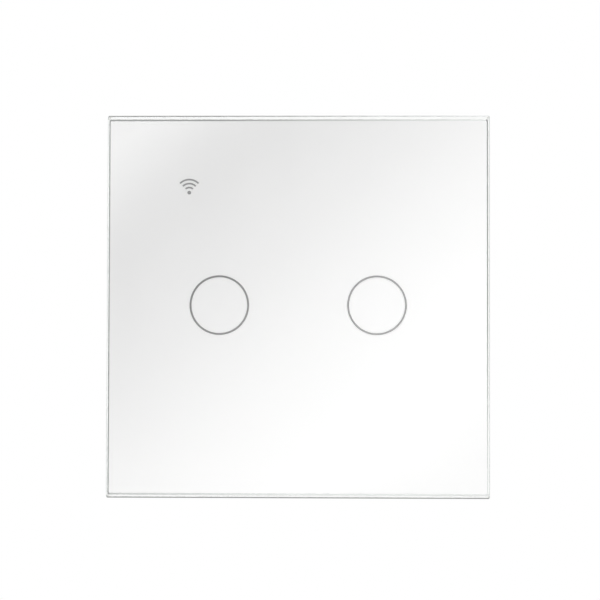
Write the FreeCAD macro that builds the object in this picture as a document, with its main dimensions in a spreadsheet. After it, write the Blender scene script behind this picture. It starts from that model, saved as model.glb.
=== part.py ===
import FreeCAD, Part
import math
import os
from types import SimpleNamespace

import Sketcher

# Two-way touch light switch for a 60 mm wall box, about 86 mm square.
# Frame: X runs to the right and Z up as the user sees the glass, and Y runs into the wall.
# The origin is midway between the two wall screws, on the face that rests on the wall.
# Heights in this file, such as glass_front, are distances in front of that wall face, so a
# negative one lies inside the wall box. Depths are distances behind the power board.

# Driving dimensions in millimetres, each with its own cell and alias in the sheet
SIZES = {
    # Glass panel and the ink on its back
    "glass_width": 86.0,
    "glass_height": 86.0,
    "glass_thickness": 3.0,
    "glass_corner": 0.9,
    "bevel_level": 0.95,
    "bevel_upright": 0.5,
    "bevel_depth": 0.6,
    "arris": 0.2,
    "ink_gap": 0.1,
    "print_thickness": 0.1,
    "print_margin": 0.45,
    "ring_spacing": 35.5,
    "ring_rise": 0.3,
    "ring_diameter": 13.0,
    "ring_stroke": 0.42,
    "ring_thickness": 0.07,
    "ring_lift": 0.015,
    # Frame that is taped behind the glass
    "wall_gap": 0.6,
    "frame_depth": 6.6,
    "frame_inset": 0.15,
    "frame_corner": 1.2,
    "frame_wall": 1.6,
    "frame_web": 1.3,
    "frame_border": 8.0,
    "tape_thickness": 0.2,
    "tape_width": 5.0,
    "tape_inset": 1.0,
    "peg_width": 2.6,
    "peg_slip": 0.15,
    "peg_inset": 3.4,
    "peg_length": 4.4,
    "snap_width": 6.0,
    "snap_place": 22.0,
    "snap_slip": 0.04,
    "snap_height": 1.2,
    "pry_width": 9.0,
    "pry_height": 1.4,
    # Base frame that stays on the wall
    "panel_clearance": 0.55,
    "base_corner": 1.0,
    "base_wall": 1.4,
    "base_depth": 4.4,
    "floor_thickness": 1.6,
    "header_window_length": 18.0,
    "header_window_width": 4.6,
    "press_post_width": 2.6,
    "press_post_slip": 0.05,
    # Steel yoke with slots for the wall screws
    "yoke_size": 72.0,
    "yoke_corner": 5.0,
    "yoke_thickness": 1.0,
    "yoke_slip": 0.3,
    "seat_depth": 0.1,
    "wall_screw_spacing": 60.0,
    "slot_length": 6.0,
    "slot_width": 4.2,
    "wall_screw_head_room": 1.9,
    # Housing that goes into the wall box
    "housing_width": 50.0,
    "housing_cut": 10.5,
    "housing_depth": 24.0,
    "housing_wall": 1.8,
    "housing_chamfer": 0.8,
    "flange_width": 52.8,
    "flange_cut": 14.0,
    "flange_thickness": 1.2,
    "step_depth": 18.0,
    "step_edge": 11.4,
    "boss_across": 21.2,
    "boss_up": 10.2,
    "boss_diameter": 5.2,
    "pilot_spare": 0.6,
    "support_across": 19.0,
    "support_up": 14.6,
    "support_width": 3.0,
    "vent_width": 1.4,
    "vent_length": 7.0,
    "vent_spacing": 3.4,
    "vent_row_spacing": 9.0,
    "vent_up": 16.4,
    # Screws of the housing and of the touch board
    "housing_screw_shank": 2.2,
    "housing_screw_head": 4.2,
    "housing_screw_head_height": 1.5,
    "housing_screw_length": 9.0,
    "board_screw_shank": 1.8,
    "board_screw_head": 3.4,
    "board_screw_head_height": 1.2,
    "board_screw_length": 3.0,
    "screw_slip": 0.05,
    "screw_head_room": 0.5,
    "drive_width": 0.7,
    "drive_depth": 0.6,
    # Touch board and what stands on it
    "touch_standoff": 0.6,
    "touch_board_thickness": 1.2,
    "touch_board_width": 62.0,
    "touch_board_height": 64.0,
    "touch_notch_reach": 25.8,
    "touch_notch_width": 13.0,
    "touch_screw_across": 28.0,
    "touch_screw_up": 29.0,
    "touch_post_width": 4.2,
    "spring_diameter": 8.0,
    "spring_wire": 0.5,
    "spring_turns": 2,
    "spring_foot": 0.1,
    "spring_gap": 0.1,
    "shield_inner": 13.8,
    "shield_wall": 0.6,
    "shield_gap": 0.2,
    "led_length": 2.0,
    "led_width": 1.25,
    "led_base": 0.35,
    "led_lens_length": 1.2,
    "led_lens_height": 0.45,
    "lamp_across": 24.7,
    "lamp_up": 26.8,
    "chip_length": 9.9,
    "chip_width": 3.9,
    "chip_height": 1.4,
    "chip_stand": 0.1,
    "chip_leads": 8,
    "lead_reach": 1.05,
    "lead_spacing": 1.27,
    "lead_width": 0.4,
    "lead_thickness": 0.25,
    "chip_across": 9.0,
    "chip_up": 17.0,
    "radio_width": 16.0,
    "radio_height": 18.0,
    "radio_thickness": 0.8,
    "radio_across": 17.3,
    "radio_up": 22.4,
    "can_size": 12.6,
    "can_height": 1.7,
    "can_wall": 0.2,
    "can_edge": 1.0,
    # Header that joins the two boards
    "pin_count": 6,
    "pin_spacing": 2.54,
    "pin_width": 0.64,
    "pin_tail": 1.0,
    "pin_reach": 3.8,
    "header_up": 9.4,
    "header_width": 2.5,
    "header_base": 2.5,
    "header_gap": 0.2,
    "pin_slip": 0.1,
    # Power board
    "power_gap": 4.0,
    "power_board_thickness": 1.6,
    "board_slip": 0.4,
    "hole_slip": 0.15,
    # Terminal block with rising cages
    "ways": 4,
    "way_spacing": 6.4,
    "block_end": 0.8,
    "block_width": 10.8,
    "block_height": 12.8,
    "block_wall": 0.9,
    "block_place": 22.9,
    "block_slip": 0.15,
    "lip_thickness": 0.45,
    "lip_hole": 3.6,
    "cage_width": 4.8,
    "cage_length": 5.6,
    "cage_wall": 0.7,
    "cage_floor": 0.8,
    "cage_nut": 1.6,
    "cage_height": 7.2,
    "cage_rest": 0.8,
    "cage_slip": 0.15,
    "bar_thickness": 0.8,
    "bar_width": 3.0,
    "bar_depth": 4.8,
    "bar_leg_gap": 0.4,
    "bar_tail": 0.8,
    "entry_width": 3.6,
    "entry_height": 3.2,
    "entry_chamfer": 0.4,
    "entry_window": 4.2,
    "clamp_screw_shank": 3.0,
    "clamp_screw_head": 4.4,
    "clamp_screw_head_height": 1.6,
    "clamp_screw_depth": 10.6,
    "clamp_head_slip": 0.15,
    # Relays, measured from their own middle
    "relay_width": 15.4,
    "relay_length": 19.0,
    "relay_room": 1.4,
    "relay_head_room": 4.1,
    "relay_wall": 0.7,
    "relay_base": 1.6,
    "relay_slip": 0.08,
    "relay_across": 9.0,
    "relay_up": 0.2,
    "coil_place": 0.6,
    "coil_radius": 4.3,
    "coil_flange": 4.9,
    "coil_flange_height": 0.7,
    "core_side": 3.0,
    "core_slip": 0.05,
    "core_proud": 0.7,
    "magnet_width": 8.0,
    "magnet_thickness": 1.2,
    "magnet_back": 7.9,
    "magnet_front": 3.6,
    "armature_gap": 0.5,
    "armature_thickness": 1.0,
    "armature_reach": 4.0,
    "armature_tail": 0.3,
    "hinge_slip": 0.05,
    "blade_thickness": 0.3,
    "blade_width": 5.0,
    "blade_start": 6.0,
    "contact_place": 7.0,
    "contact_radius": 1.1,
    "contact_height": 0.8,
    "contact_gap": 0.8,
    "strip_thickness": 0.6,
    "strip_width": 4.0,
    "strip_back": 8.6,
    # Power supply parts on the power board
    "core_width": 10.4,
    "core_length": 4.8,
    "core_height": 8.4,
    "core_stand": 1.6,
    "core_leg": 2.4,
    "core_up": 16.6,
    "bobbin_slip": 0.1,
    "bobbin_wall": 0.4,
    "bobbin_flange": 0.6,
    "bobbin_length": 10.4,
    "winding_length": 9.6,
    "winding_inset": 0.3,
    "filter_diameter": 8.0,
    "filter_height": 12.0,
    "filter_across": 11.8,
    "filter_up": 16.0,
    "output_diameter": 6.3,
    "output_height": 11.0,
    "output_across": 11.0,
    "output_up": 18.4,
    "varistor_diameter": 7.2,
    "varistor_thickness": 3.0,
    "varistor_across": 13.4,
    "varistor_up": 12.0,
    "varistor_lead": 0.6,
    "varistor_stand": 1.0,
    "fuse_diameter": 3.2,
    "fuse_length": 7.6,
    "fuse_across": 20.0,
    "fuse_lead": 0.6,
    "fuse_stand": 0.5,
    "rectifier_width": 3.8,
    "rectifier_length": 6.2,
    "rectifier_height": 2.4,
    "rectifier_across": 20.2,
}

doc = FreeCAD.newDocument("touch_switch")
sheet = doc.addObject("Spreadsheet::Sheet", "Sizes")
for row, (alias, number) in enumerate(SIZES.items(), start=1):
    sheet.set(f"A{row}", alias)
    sheet.set(f"B{row}", str(number))
    sheet.setAlias(f"B{row}", alias)
doc.recompute()


class Size:
    """A length with the formula that gives it, so that sums of sizes stay bound to the sheet."""

    def __init__(self, number, formula):
        self.number = float(number)
        self.formula = formula

    def __add__(self, other):
        other = as_size(other)
        return Size(self.number + other.number, f"({self.formula} + {other.formula})")

    def __sub__(self, other):
        other = as_size(other)
        return Size(self.number - other.number, f"({self.formula} - {other.formula})")

    def __mul__(self, other):
        other = as_size(other)
        return Size(self.number * other.number, f"({self.formula} * {other.formula})")

    def __truediv__(self, other):
        other = as_size(other)
        return Size(self.number / other.number, f"({self.formula} / {other.formula})")

    def __neg__(self):
        return Size(-self.number, f"(0 - {self.formula})")


def as_size(value):
    """A plain number as a Size, and a Size as it is."""
    return value if isinstance(value, Size) else Size(value, str(float(value)))


s = SimpleNamespace(**{alias: Size(number, f"Sizes.{alias}") for alias, number in SIZES.items()})
ZERO = as_size(0)
SIDES = (-1, 1)
CORNERS = [(i, j) for i in SIDES for j in SIDES]
# Two screws at opposite corners hold the touch board, and all four corners rest on posts
BOARD_SCREW_CORNERS = [(-1, -1), (1, 1)]
# Moving the sides of an octagon in by a length shortens its corner cuts by this share of it
CUT_SHARE = 2 - 2 ** 0.5

# Heights of the layers in front of the wall
frame_front = s.wall_gap + s.frame_depth
web_rear = frame_front - s.frame_web
tape_front = frame_front + s.tape_thickness
print_front = tape_front + s.print_thickness
glass_rear = print_front + s.ink_gap
glass_front = glass_rear + s.glass_thickness
floor_front = s.yoke_thickness + s.floor_thickness
touch_rear = floor_front + s.touch_standoff
touch_front = touch_rear + s.touch_board_thickness
# Heights inside the wall box
power_front = -s.power_gap
power_rear = power_front - s.power_board_thickness
housing_rear = -s.housing_depth
housing_inside = housing_rear + s.housing_wall
step_rear = -s.step_depth
step_inside = step_rear + s.housing_wall
relay_height = power_rear - housing_inside - s.relay_room
core_top = relay_height - s.relay_head_room
coil_top = core_top - s.core_proud
# Half widths of the square pieces
frame_half = s.glass_width / 2 - s.frame_inset
frame_half_up = s.glass_height / 2 - s.frame_inset
frame_inside = frame_half - s.frame_wall
frame_inside_up = frame_half_up - s.frame_wall
base_half = frame_inside - s.panel_clearance
base_half_up = frame_inside_up - s.panel_clearance
housing_half = s.housing_width / 2
inside_half = housing_half - s.housing_wall
inside_cut = s.housing_cut - s.housing_wall * CUT_SHARE
# The barbs and ribs of the snaps share the gap between the two frames, less a slip
snap_reach = (s.panel_clearance - s.snap_slip) / 2
# Rings that mark the touch keys
ring_across = s.ring_spacing / 2
ring_outer = (s.ring_diameter + s.ring_stroke) / 2
ring_inner = (s.ring_diameter - s.ring_stroke) / 2
# Terminal block, from the wire side at the bottom towards the middle
cage_low = s.block_wall + s.cage_slip - s.block_place
cage_high = cage_low + s.cage_length
leg_low = cage_high + s.bar_leg_gap
leg_high = leg_low + s.bar_thickness
screw_up = cage_low + s.cage_length / 2
WAYS = range(int(SIZES["ways"]))
PINS = range(int(SIZES["pin_count"]))

SUBPARTS = []


def new_body(label):
    """A sub-part as a PartDesign body. Its label is the name of its file."""
    body = doc.addObject("PartDesign::Body", label)
    body.Label = label
    body.AllowCompound = True
    SUBPARTS.append(body)
    return body


def place(body, across, up):
    """Moves a finished body along the wall. Its placement is bound to the sheet."""
    body.setExpression("Placement.Base.x", as_size(across).formula)
    body.setExpression("Placement.Base.z", as_size(up).formula)


def new_sketch(body, name, plane, offset):
    """An empty sketch on one of the body's origin planes, moved along the plane's normal."""
    sketch = body.newObject("Sketcher::SketchObject", name)
    support = next(feature for feature in body.Origin.OriginFeatures if feature.Role == plane)
    sketch.AttachmentSupport = [(support, "")]
    sketch.MapMode = "FlatFace"
    sketch.setExpression("AttachmentOffset.Base.z", as_size(offset).formula)
    return sketch


def face_sketch(body, name, height):
    """A sketch parallel to the wall, at a height in front of it: right is +X and up is +Z."""
    return new_sketch(body, name, "XZ_Plane", height)


def level_sketch(body, name, up):
    """A level sketch at Z = up. Its second coordinate is Y, which is minus a height."""
    return new_sketch(body, name, "XY_Plane", up)


def side_sketch(body, name, across):
    """A sketch square to X at X = across. Its coordinates are Y, which is minus a height, and Z."""
    return new_sketch(body, name, "YZ_Plane", across)


def hold(sketch, kind, *where_and_size):
    """Adds a constraint with a size and binds it to the sheet."""
    *where, size = where_and_size
    size = as_size(size)
    index = sketch.addConstraint(Sketcher.Constraint(kind, *where, size.number))
    sketch.setExpression(f"Constraints[{index}]", size.formula)


def hold_point(sketch, geometry, point, x, y):
    hold(sketch, "DistanceX", -1, 1, geometry, point, x)
    hold(sketch, "DistanceY", -1, 1, geometry, point, y)


def vector(x, y):
    return FreeCAD.Vector(as_size(x).number, as_size(y).number, 0)


def draw_polygon(sketch, points):
    """A closed outline of straight sides, with every corner held to the sheet."""
    first = sketch.GeometryCount
    count = len(points)
    corners = [vector(x, y) for x, y in points]
    for i in range(count):
        sketch.addGeometry(Part.LineSegment(corners[i], corners[(i + 1) % count]))
    for i in range(count):
        sketch.addConstraint(Sketcher.Constraint("Coincident", first + i, 2, first + (i + 1) % count, 1))
    for i, (x, y) in enumerate(points):
        hold_point(sketch, first + i, 1, x, y)


def draw_rectangle(sketch, left, right, low, high):
    draw_polygon(sketch, [(left, low), (right, low), (right, high), (left, high)])


def draw_box(sketch, across, up, width, height):
    """A rectangle about a centre."""
    across = as_size(across)
    up = as_size(up)
    draw_rectangle(sketch, across - width / 2, across + width / 2, up - height / 2, up + height / 2)


def draw_circle(sketch, across, up, radius):
    circle = Part.Circle(vector(across, up), FreeCAD.Vector(0, 0, 1), as_size(radius).number)
    index = sketch.addGeometry(circle)
    hold(sketch, "Radius", index, radius)
    hold_point(sketch, index, 3, across, up)


QUARTER = 1.5707963267948966


def draw_arc(sketch, x, y, radius, start, end):
    """A rough arc between two angles, counted in quarter turns."""
    circle = Part.Circle(FreeCAD.Vector(x, y, 0), FreeCAD.Vector(0, 0, 1), radius)
    sketch.addGeometry(Part.ArcOfCircle(circle, start * QUARTER, end * QUARTER))


def draw_rounded(sketch, half_width, half_height, radius):
    """A rectangle about the origin with round corners: four sides joined by tangent arcs."""
    a = half_width.number
    b = half_height.number
    r = radius.number
    first = sketch.GeometryCount
    sides = [((r - a, -b), (a - r, -b)), ((a, r - b), (a, b - r)),
             ((a - r, b), (r - a, b)), ((-a, b - r), (-a, r - b))]
    centres = [(a - r, r - b), (a - r, b - r), (r - a, b - r), (r - a, r - b)]
    for start, end in sides:
        sketch.addGeometry(Part.LineSegment(vector(*start), vector(*end)))
    for i, (x, y) in enumerate(centres):
        draw_arc(sketch, x, y, r, i - 1, i)
    for i in range(4):
        arc = first + 4 + i
        sketch.addConstraint(Sketcher.Constraint("Tangent", first + i, 2, arc, 1))
        sketch.addConstraint(Sketcher.Constraint("Tangent", arc, 2, first + (i + 1) % 4, 1))
        sketch.addConstraint(Sketcher.Constraint("Vertical" if i % 2 else "Horizontal", first + i))
        if i:
            sketch.addConstraint(Sketcher.Constraint("Equal", first + 4, arc))
    hold(sketch, "Radius", first + 4, radius)
    hold(sketch, "DistanceY", -1, 1, first, 1, -half_height)
    hold(sketch, "DistanceX", -1, 1, first + 1, 1, half_width)
    hold(sketch, "DistanceY", -1, 1, first + 2, 1, half_height)
    hold(sketch, "DistanceX", -1, 1, first + 3, 1, -half_width)


def draw_slot(sketch, across, up, length, width, upright=False):
    """A slot with round ends about a centre, lying along X or, if upright, along Z."""
    across = as_size(across)
    up = as_size(up)
    reach = (length - width) / 2
    radius = width / 2
    x, y, d, r = across.number, up.number, reach.number, radius.number
    first = sketch.GeometryCount
    if upright:
        draw_arc(sketch, x, y + d, r, 0, 2)
        draw_arc(sketch, x, y - d, r, 2, 4)
        sides = [((x - r, y + d), (x - r, y - d)), ((x + r, y - d), (x + r, y + d))]
    else:
        draw_arc(sketch, x - d, y, r, 1, 3)
        draw_arc(sketch, x + d, y, r, -1, 1)
        sides = [((x - d, y - r), (x + d, y - r)), ((x + d, y + r), (x - d, y + r))]
    for start, end in sides:
        sketch.addGeometry(Part.LineSegment(vector(*start), vector(*end)))
    for arc, side, other in ((first, first + 2, first + 1), (first + 1, first + 3, first)):
        sketch.addConstraint(Sketcher.Constraint("Tangent", arc, 2, side, 1))
        sketch.addConstraint(Sketcher.Constraint("Tangent", side, 2, other, 1))
    sketch.addConstraint(Sketcher.Constraint("Equal", first, first + 1))
    hold(sketch, "Radius", first, radius)
    for arc, way in ((first, 1 if upright else -1), (first + 1, -1 if upright else 1)):
        if upright:
            hold_point(sketch, arc, 3, across, up + reach * way)
        else:
            hold_point(sketch, arc, 3, across + reach * way, up)


def octagon(half, cut):
    """The corner points of a square with its corners cut off at 45 degrees."""
    flat = half - cut
    return [(-flat, -half), (flat, -half), (half, -flat), (half, flat),
            (flat, half), (-flat, half), (-half, flat), (-half, -flat)]


def draw_octagon(sketch, across, up, half):
    """A regular octagon about a centre."""
    across = as_size(across)
    up = as_size(up)
    half = as_size(half)
    draw_polygon(sketch, [(across + x, up + y) for x, y in octagon(half, half * CUT_SHARE)])


def add_feature(body, kind, name, sign, **settings):
    """Adds a PartDesign feature that must add material (sign 1) or take some away (sign -1)."""
    before = body.Tip.Shape.Volume if body.Tip else 0.0
    feature = body.newObject(f"PartDesign::{kind}", name)
    for key, value in settings.items():
        if isinstance(value, Size):
            feature.setExpression(key, value.formula)
        else:
            setattr(feature, key, value)
    doc.recompute()
    if "Up-to-date" not in feature.State:
        raise RuntimeError(f"{body.Label}: {name} is {feature.State}")
    change = feature.Shape.Volume - before
    if sign * change <= 1e-6:
        raise RuntimeError(f"{body.Label}: {name} changed the volume by {change:.6f}")
    body.Tip = feature
    return feature


def pad(body, name, sketch, length, backwards=False):
    """Adds material from the sketch along its normal: towards the room, up or to the right."""
    return add_feature(body, "Pad", name, 1, Profile=sketch, Length=as_size(length), Reversed=backwards)


def pocket(body, name, sketch, length, backwards=False):
    """Takes material away from the sketch against its normal: towards the wall, down or left."""
    return add_feature(body, "Pocket", name, -1, Profile=sketch, Length=as_size(length),
                       Reversed=backwards)


def turned(body, name, points):
    """A solid of revolution about the Y axis, through (radius, height) points."""
    sketch = level_sketch(body, f"{name}_profile", ZERO)
    draw_polygon(sketch, [(radius, -height) for radius, height in points])
    return add_feature(body, "Revolution", name, 1, Profile=sketch, ReferenceAxis=(sketch, ["V_Axis"]),
                       Angle=360.0)


def edges_at(feature, axis, value, longest=1e9):
    """The names of edges that lie in the plane where a coordinate has a value."""
    names = []
    for i, edge in enumerate(feature.Shape.Edges, start=1):
        box = edge.BoundBox
        low, high = getattr(box, f"{axis}Min"), getattr(box, f"{axis}Max")
        if abs(low - value.number) < 1e-4 and abs(high - value.number) < 1e-4 and edge.Length < longest:
            names.append(f"Edge{i}")
    return names


def chamfer(body, name, axis, value, size, longest=1e9):
    """Breaks the edges that lie in a plane."""
    feature = body.Tip
    return add_feature(body, "Chamfer", name, -1, Base=(feature, edges_at(feature, axis, value, longest)),
                       Size=size)


def behind(depth):
    """The height of a plane at a depth behind the power board."""
    return power_rear - as_size(depth)


def way_across(way):
    """The middle of one way of the terminal block, counted from the left."""
    return s.way_spacing * (way - (SIZES["ways"] - 1) / 2)


def pin_across(pin):
    return s.pin_spacing * (pin - (SIZES["pin_count"] - 1) / 2)


# Front panel: the glass, its ink, the tape and the frame, which come off as one
def build_glass_plate():
    """Toughened clear glass with a ground bevel round its front face."""
    body = new_body("glass_plate")
    outline = face_sketch(body, "glass_outline", glass_rear)
    draw_rounded(outline, s.glass_width / 2, s.glass_height / 2, s.glass_corner)
    pad(body, "slab", outline, s.glass_thickness - s.bevel_depth)
    foot = face_sketch(body, "bevel_foot", glass_front - s.bevel_depth)
    draw_rounded(foot, s.glass_width / 2, s.glass_height / 2, s.glass_corner)
    top = face_sketch(body, "bevel_top", glass_front)
    draw_rounded(top, s.glass_width / 2 - s.bevel_upright, s.glass_height / 2 - s.bevel_level,
                 s.glass_corner)
    add_feature(body, "AdditiveLoft", "bevel", 1, Profile=foot, Sections=[top], Ruled=True)
    chamfer(body, "rear_arris", "Y", -glass_rear, s.arris)


def build_white_print():
    """White ink over the whole back of the glass."""
    body = new_body("white_print")
    outline = face_sketch(body, "print_outline", tape_front)
    draw_rounded(outline, s.glass_width / 2 - s.print_margin, s.glass_height / 2 - s.print_margin,
                 s.glass_corner)
    pad(body, "ink", outline, s.print_thickness)


def build_touch_ring(name, side):
    """Grey ink between the glass and the white ink, which marks a touch key."""
    body = new_body(f"touch_ring_{name}")
    outline = face_sketch(body, "ring_outline", print_front + s.ring_lift)
    for radius in (ring_outer, ring_inner):
        draw_circle(outline, ZERO, ZERO, radius)
    pad(body, "ring", outline, s.ring_thickness)
    place(body, ring_across * side, s.ring_rise)


def build_adhesive_tape():
    """Double-sided tape that holds the glass on its frame."""
    body = new_body("adhesive_tape")
    outline = face_sketch(body, "tape_outline", frame_front)
    outer = frame_half - s.tape_inset
    outer_up = frame_half_up - s.tape_inset
    draw_rectangle(outline, -outer, outer, -outer_up, outer_up)
    inner = outer - s.tape_width
    inner_up = outer_up - s.tape_width
    draw_rectangle(outline, -inner, inner, -inner_up, inner_up)
    pad(body, "tape", outline, s.tape_thickness)


def wedge(face, side, low):
    """A snap wedge in (height, across) points: it stands on a face and leans towards a side."""
    high = low + s.snap_height
    slope = s.snap_height / 4
    tip = face + snap_reach * side
    return [(low, face), (low + slope, tip), (high - slope, tip), (high, face)]


def add_snaps(body, name, face, face_up, side, low):
    """Two wedges on each of the four walls, with the lowest point of each at a height."""
    for place_side, end in ((-1, "low"), (1, "high")):
        start = s.snap_place * place_side - s.snap_width / 2
        level = level_sketch(body, f"{name}_{end}_level", start)
        square = side_sketch(body, f"{name}_{end}_square", start)
        for wall in SIDES:
            points = wedge(face * wall, side * wall, low)
            draw_polygon(level, [(across, -height) for height, across in points])
            points = wedge(face_up * wall, side * wall, low)
            draw_polygon(square, [(-height, up) for height, up in points])
        pad(body, f"{name}s_upright_{end}", level, s.snap_width)
        pad(body, f"{name}s_level_{end}", square, s.snap_width)


def build_panel_frame():
    """Moulded frame behind the glass, with locating pegs, snap barbs and a notch to pry it off."""
    body = new_body("panel_frame")
    outline = face_sketch(body, "frame_outline", s.wall_gap)
    draw_rounded(outline, frame_half, frame_half_up, s.frame_corner)
    pad(body, "block", outline, s.frame_depth)
    inside = face_sketch(body, "hollow_outline", web_rear)
    draw_rectangle(inside, -frame_inside, frame_inside, -frame_inside_up, frame_inside_up)
    pocket(body, "hollow", inside, s.frame_depth - s.frame_web)
    window = face_sketch(body, "window_outline", frame_front)
    draw_rounded(window, frame_half - s.frame_border, frame_half_up - s.frame_border, s.frame_corner)
    pocket(body, "window", window, s.frame_web)
    pegs = face_sketch(body, "peg_outlines", web_rear - s.peg_length)
    for i, j in CORNERS:
        draw_box(pegs, (base_half - s.peg_inset) * i, (base_half_up - s.peg_inset) * j,
                 s.peg_width, s.peg_width)
    pad(body, "pegs", pegs, s.peg_length)
    add_snaps(body, "barb", frame_inside, frame_inside_up, -1, s.yoke_thickness)
    notch = face_sketch(body, "pry_outline", s.wall_gap + s.pry_height)
    draw_rectangle(notch, -s.pry_width / 2, s.pry_width / 2, -frame_half_up, -frame_inside_up)
    pocket(body, "pry_notch", notch, s.pry_height)


# Parts that stay on the wall
def build_mounting_yoke():
    """Pressed steel plate with a slot for each wall screw. The housing and base clamp it.

    The flange of the housing lies in a shallow seat on the back of the plate.
    """
    body = new_body("mounting_yoke")
    outline = face_sketch(body, "yoke_outline", ZERO)
    draw_rounded(outline, s.yoke_size / 2, s.yoke_size / 2, s.yoke_corner)
    draw_polygon(outline, octagon(housing_half + s.yoke_slip, s.housing_cut + s.yoke_slip * CUT_SHARE))
    pad(body, "plate", outline, s.yoke_thickness)
    seat = face_sketch(body, "seat_outline", s.seat_depth)
    draw_polygon(seat, octagon(s.flange_width / 2 + s.yoke_slip,
                               s.flange_cut + s.yoke_slip * CUT_SHARE))
    pocket(body, "flange_seat", seat, s.seat_depth)
    slots = face_sketch(body, "slot_outlines", s.yoke_thickness)
    for side in SIDES:
        draw_slot(slots, s.wall_screw_spacing / 2 * side, ZERO, s.slot_length, s.slot_width)
    pocket(body, "slots", slots, s.yoke_thickness)


def build_base_frame():
    """Moulded tray that is screwed to the housing. It carries the touch board and the snap ribs."""
    body = new_body("base_frame")
    outline = face_sketch(body, "base_outline", s.yoke_thickness)
    draw_rounded(outline, base_half, base_half_up, s.base_corner)
    pad(body, "block", outline, s.base_depth)
    tray = face_sketch(body, "tray_outline", s.yoke_thickness + s.base_depth)
    inner = base_half - s.base_wall
    inner_up = base_half_up - s.base_wall
    draw_rectangle(tray, -inner, inner, -inner_up, inner_up)
    pocket(body, "tray", tray, s.base_depth - s.floor_thickness)
    posts = face_sketch(body, "board_post_outlines", floor_front)
    for i, j in CORNERS:
        draw_box(posts, s.touch_screw_across * i, s.touch_screw_up * j, s.touch_post_width,
                 s.touch_post_width)
    pad(body, "board_posts", posts, s.touch_standoff)
    presses = face_sketch(body, "press_post_outlines", power_front + s.press_post_slip)
    for i, j in CORNERS:
        draw_box(presses, s.support_across * i, s.support_up * j, s.press_post_width, s.press_post_width)
    pad(body, "press_posts", presses, s.power_gap + s.yoke_thickness - s.press_post_slip)
    add_snaps(body, "rib", base_half, base_half_up, 1, s.yoke_thickness + s.snap_height + s.snap_slip)
    floor_cuts = face_sketch(body, "floor_cut_outlines", floor_front)
    draw_box(floor_cuts, ZERO, s.header_up, s.header_window_length, s.header_window_width)
    room = s.wall_screw_head_room * 2
    for side in SIDES:
        draw_box(floor_cuts, s.wall_screw_spacing / 2 * side, ZERO, s.slot_length + room,
                 s.slot_width + room)
    for i, j in CORNERS:
        draw_circle(floor_cuts, s.boss_across * i, s.boss_up * j, s.housing_screw_shank / 2 + s.screw_slip)
        draw_box(floor_cuts, (base_half - s.peg_inset) * i, (base_half_up - s.peg_inset) * j,
                 s.peg_width + s.peg_slip * 2, s.peg_width + s.peg_slip * 2)
    pocket(body, "floor_cuts", floor_cuts, s.floor_thickness)
    pilots = face_sketch(body, "pilot_circles", touch_rear)
    for i, j in BOARD_SCREW_CORNERS:
        draw_circle(pilots, s.touch_screw_across * i, s.touch_screw_up * j,
                    s.board_screw_shank / 2 + s.screw_slip)
    pocket(body, "pilots", pilots, s.board_screw_length - s.touch_board_thickness + s.screw_slip)


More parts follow.
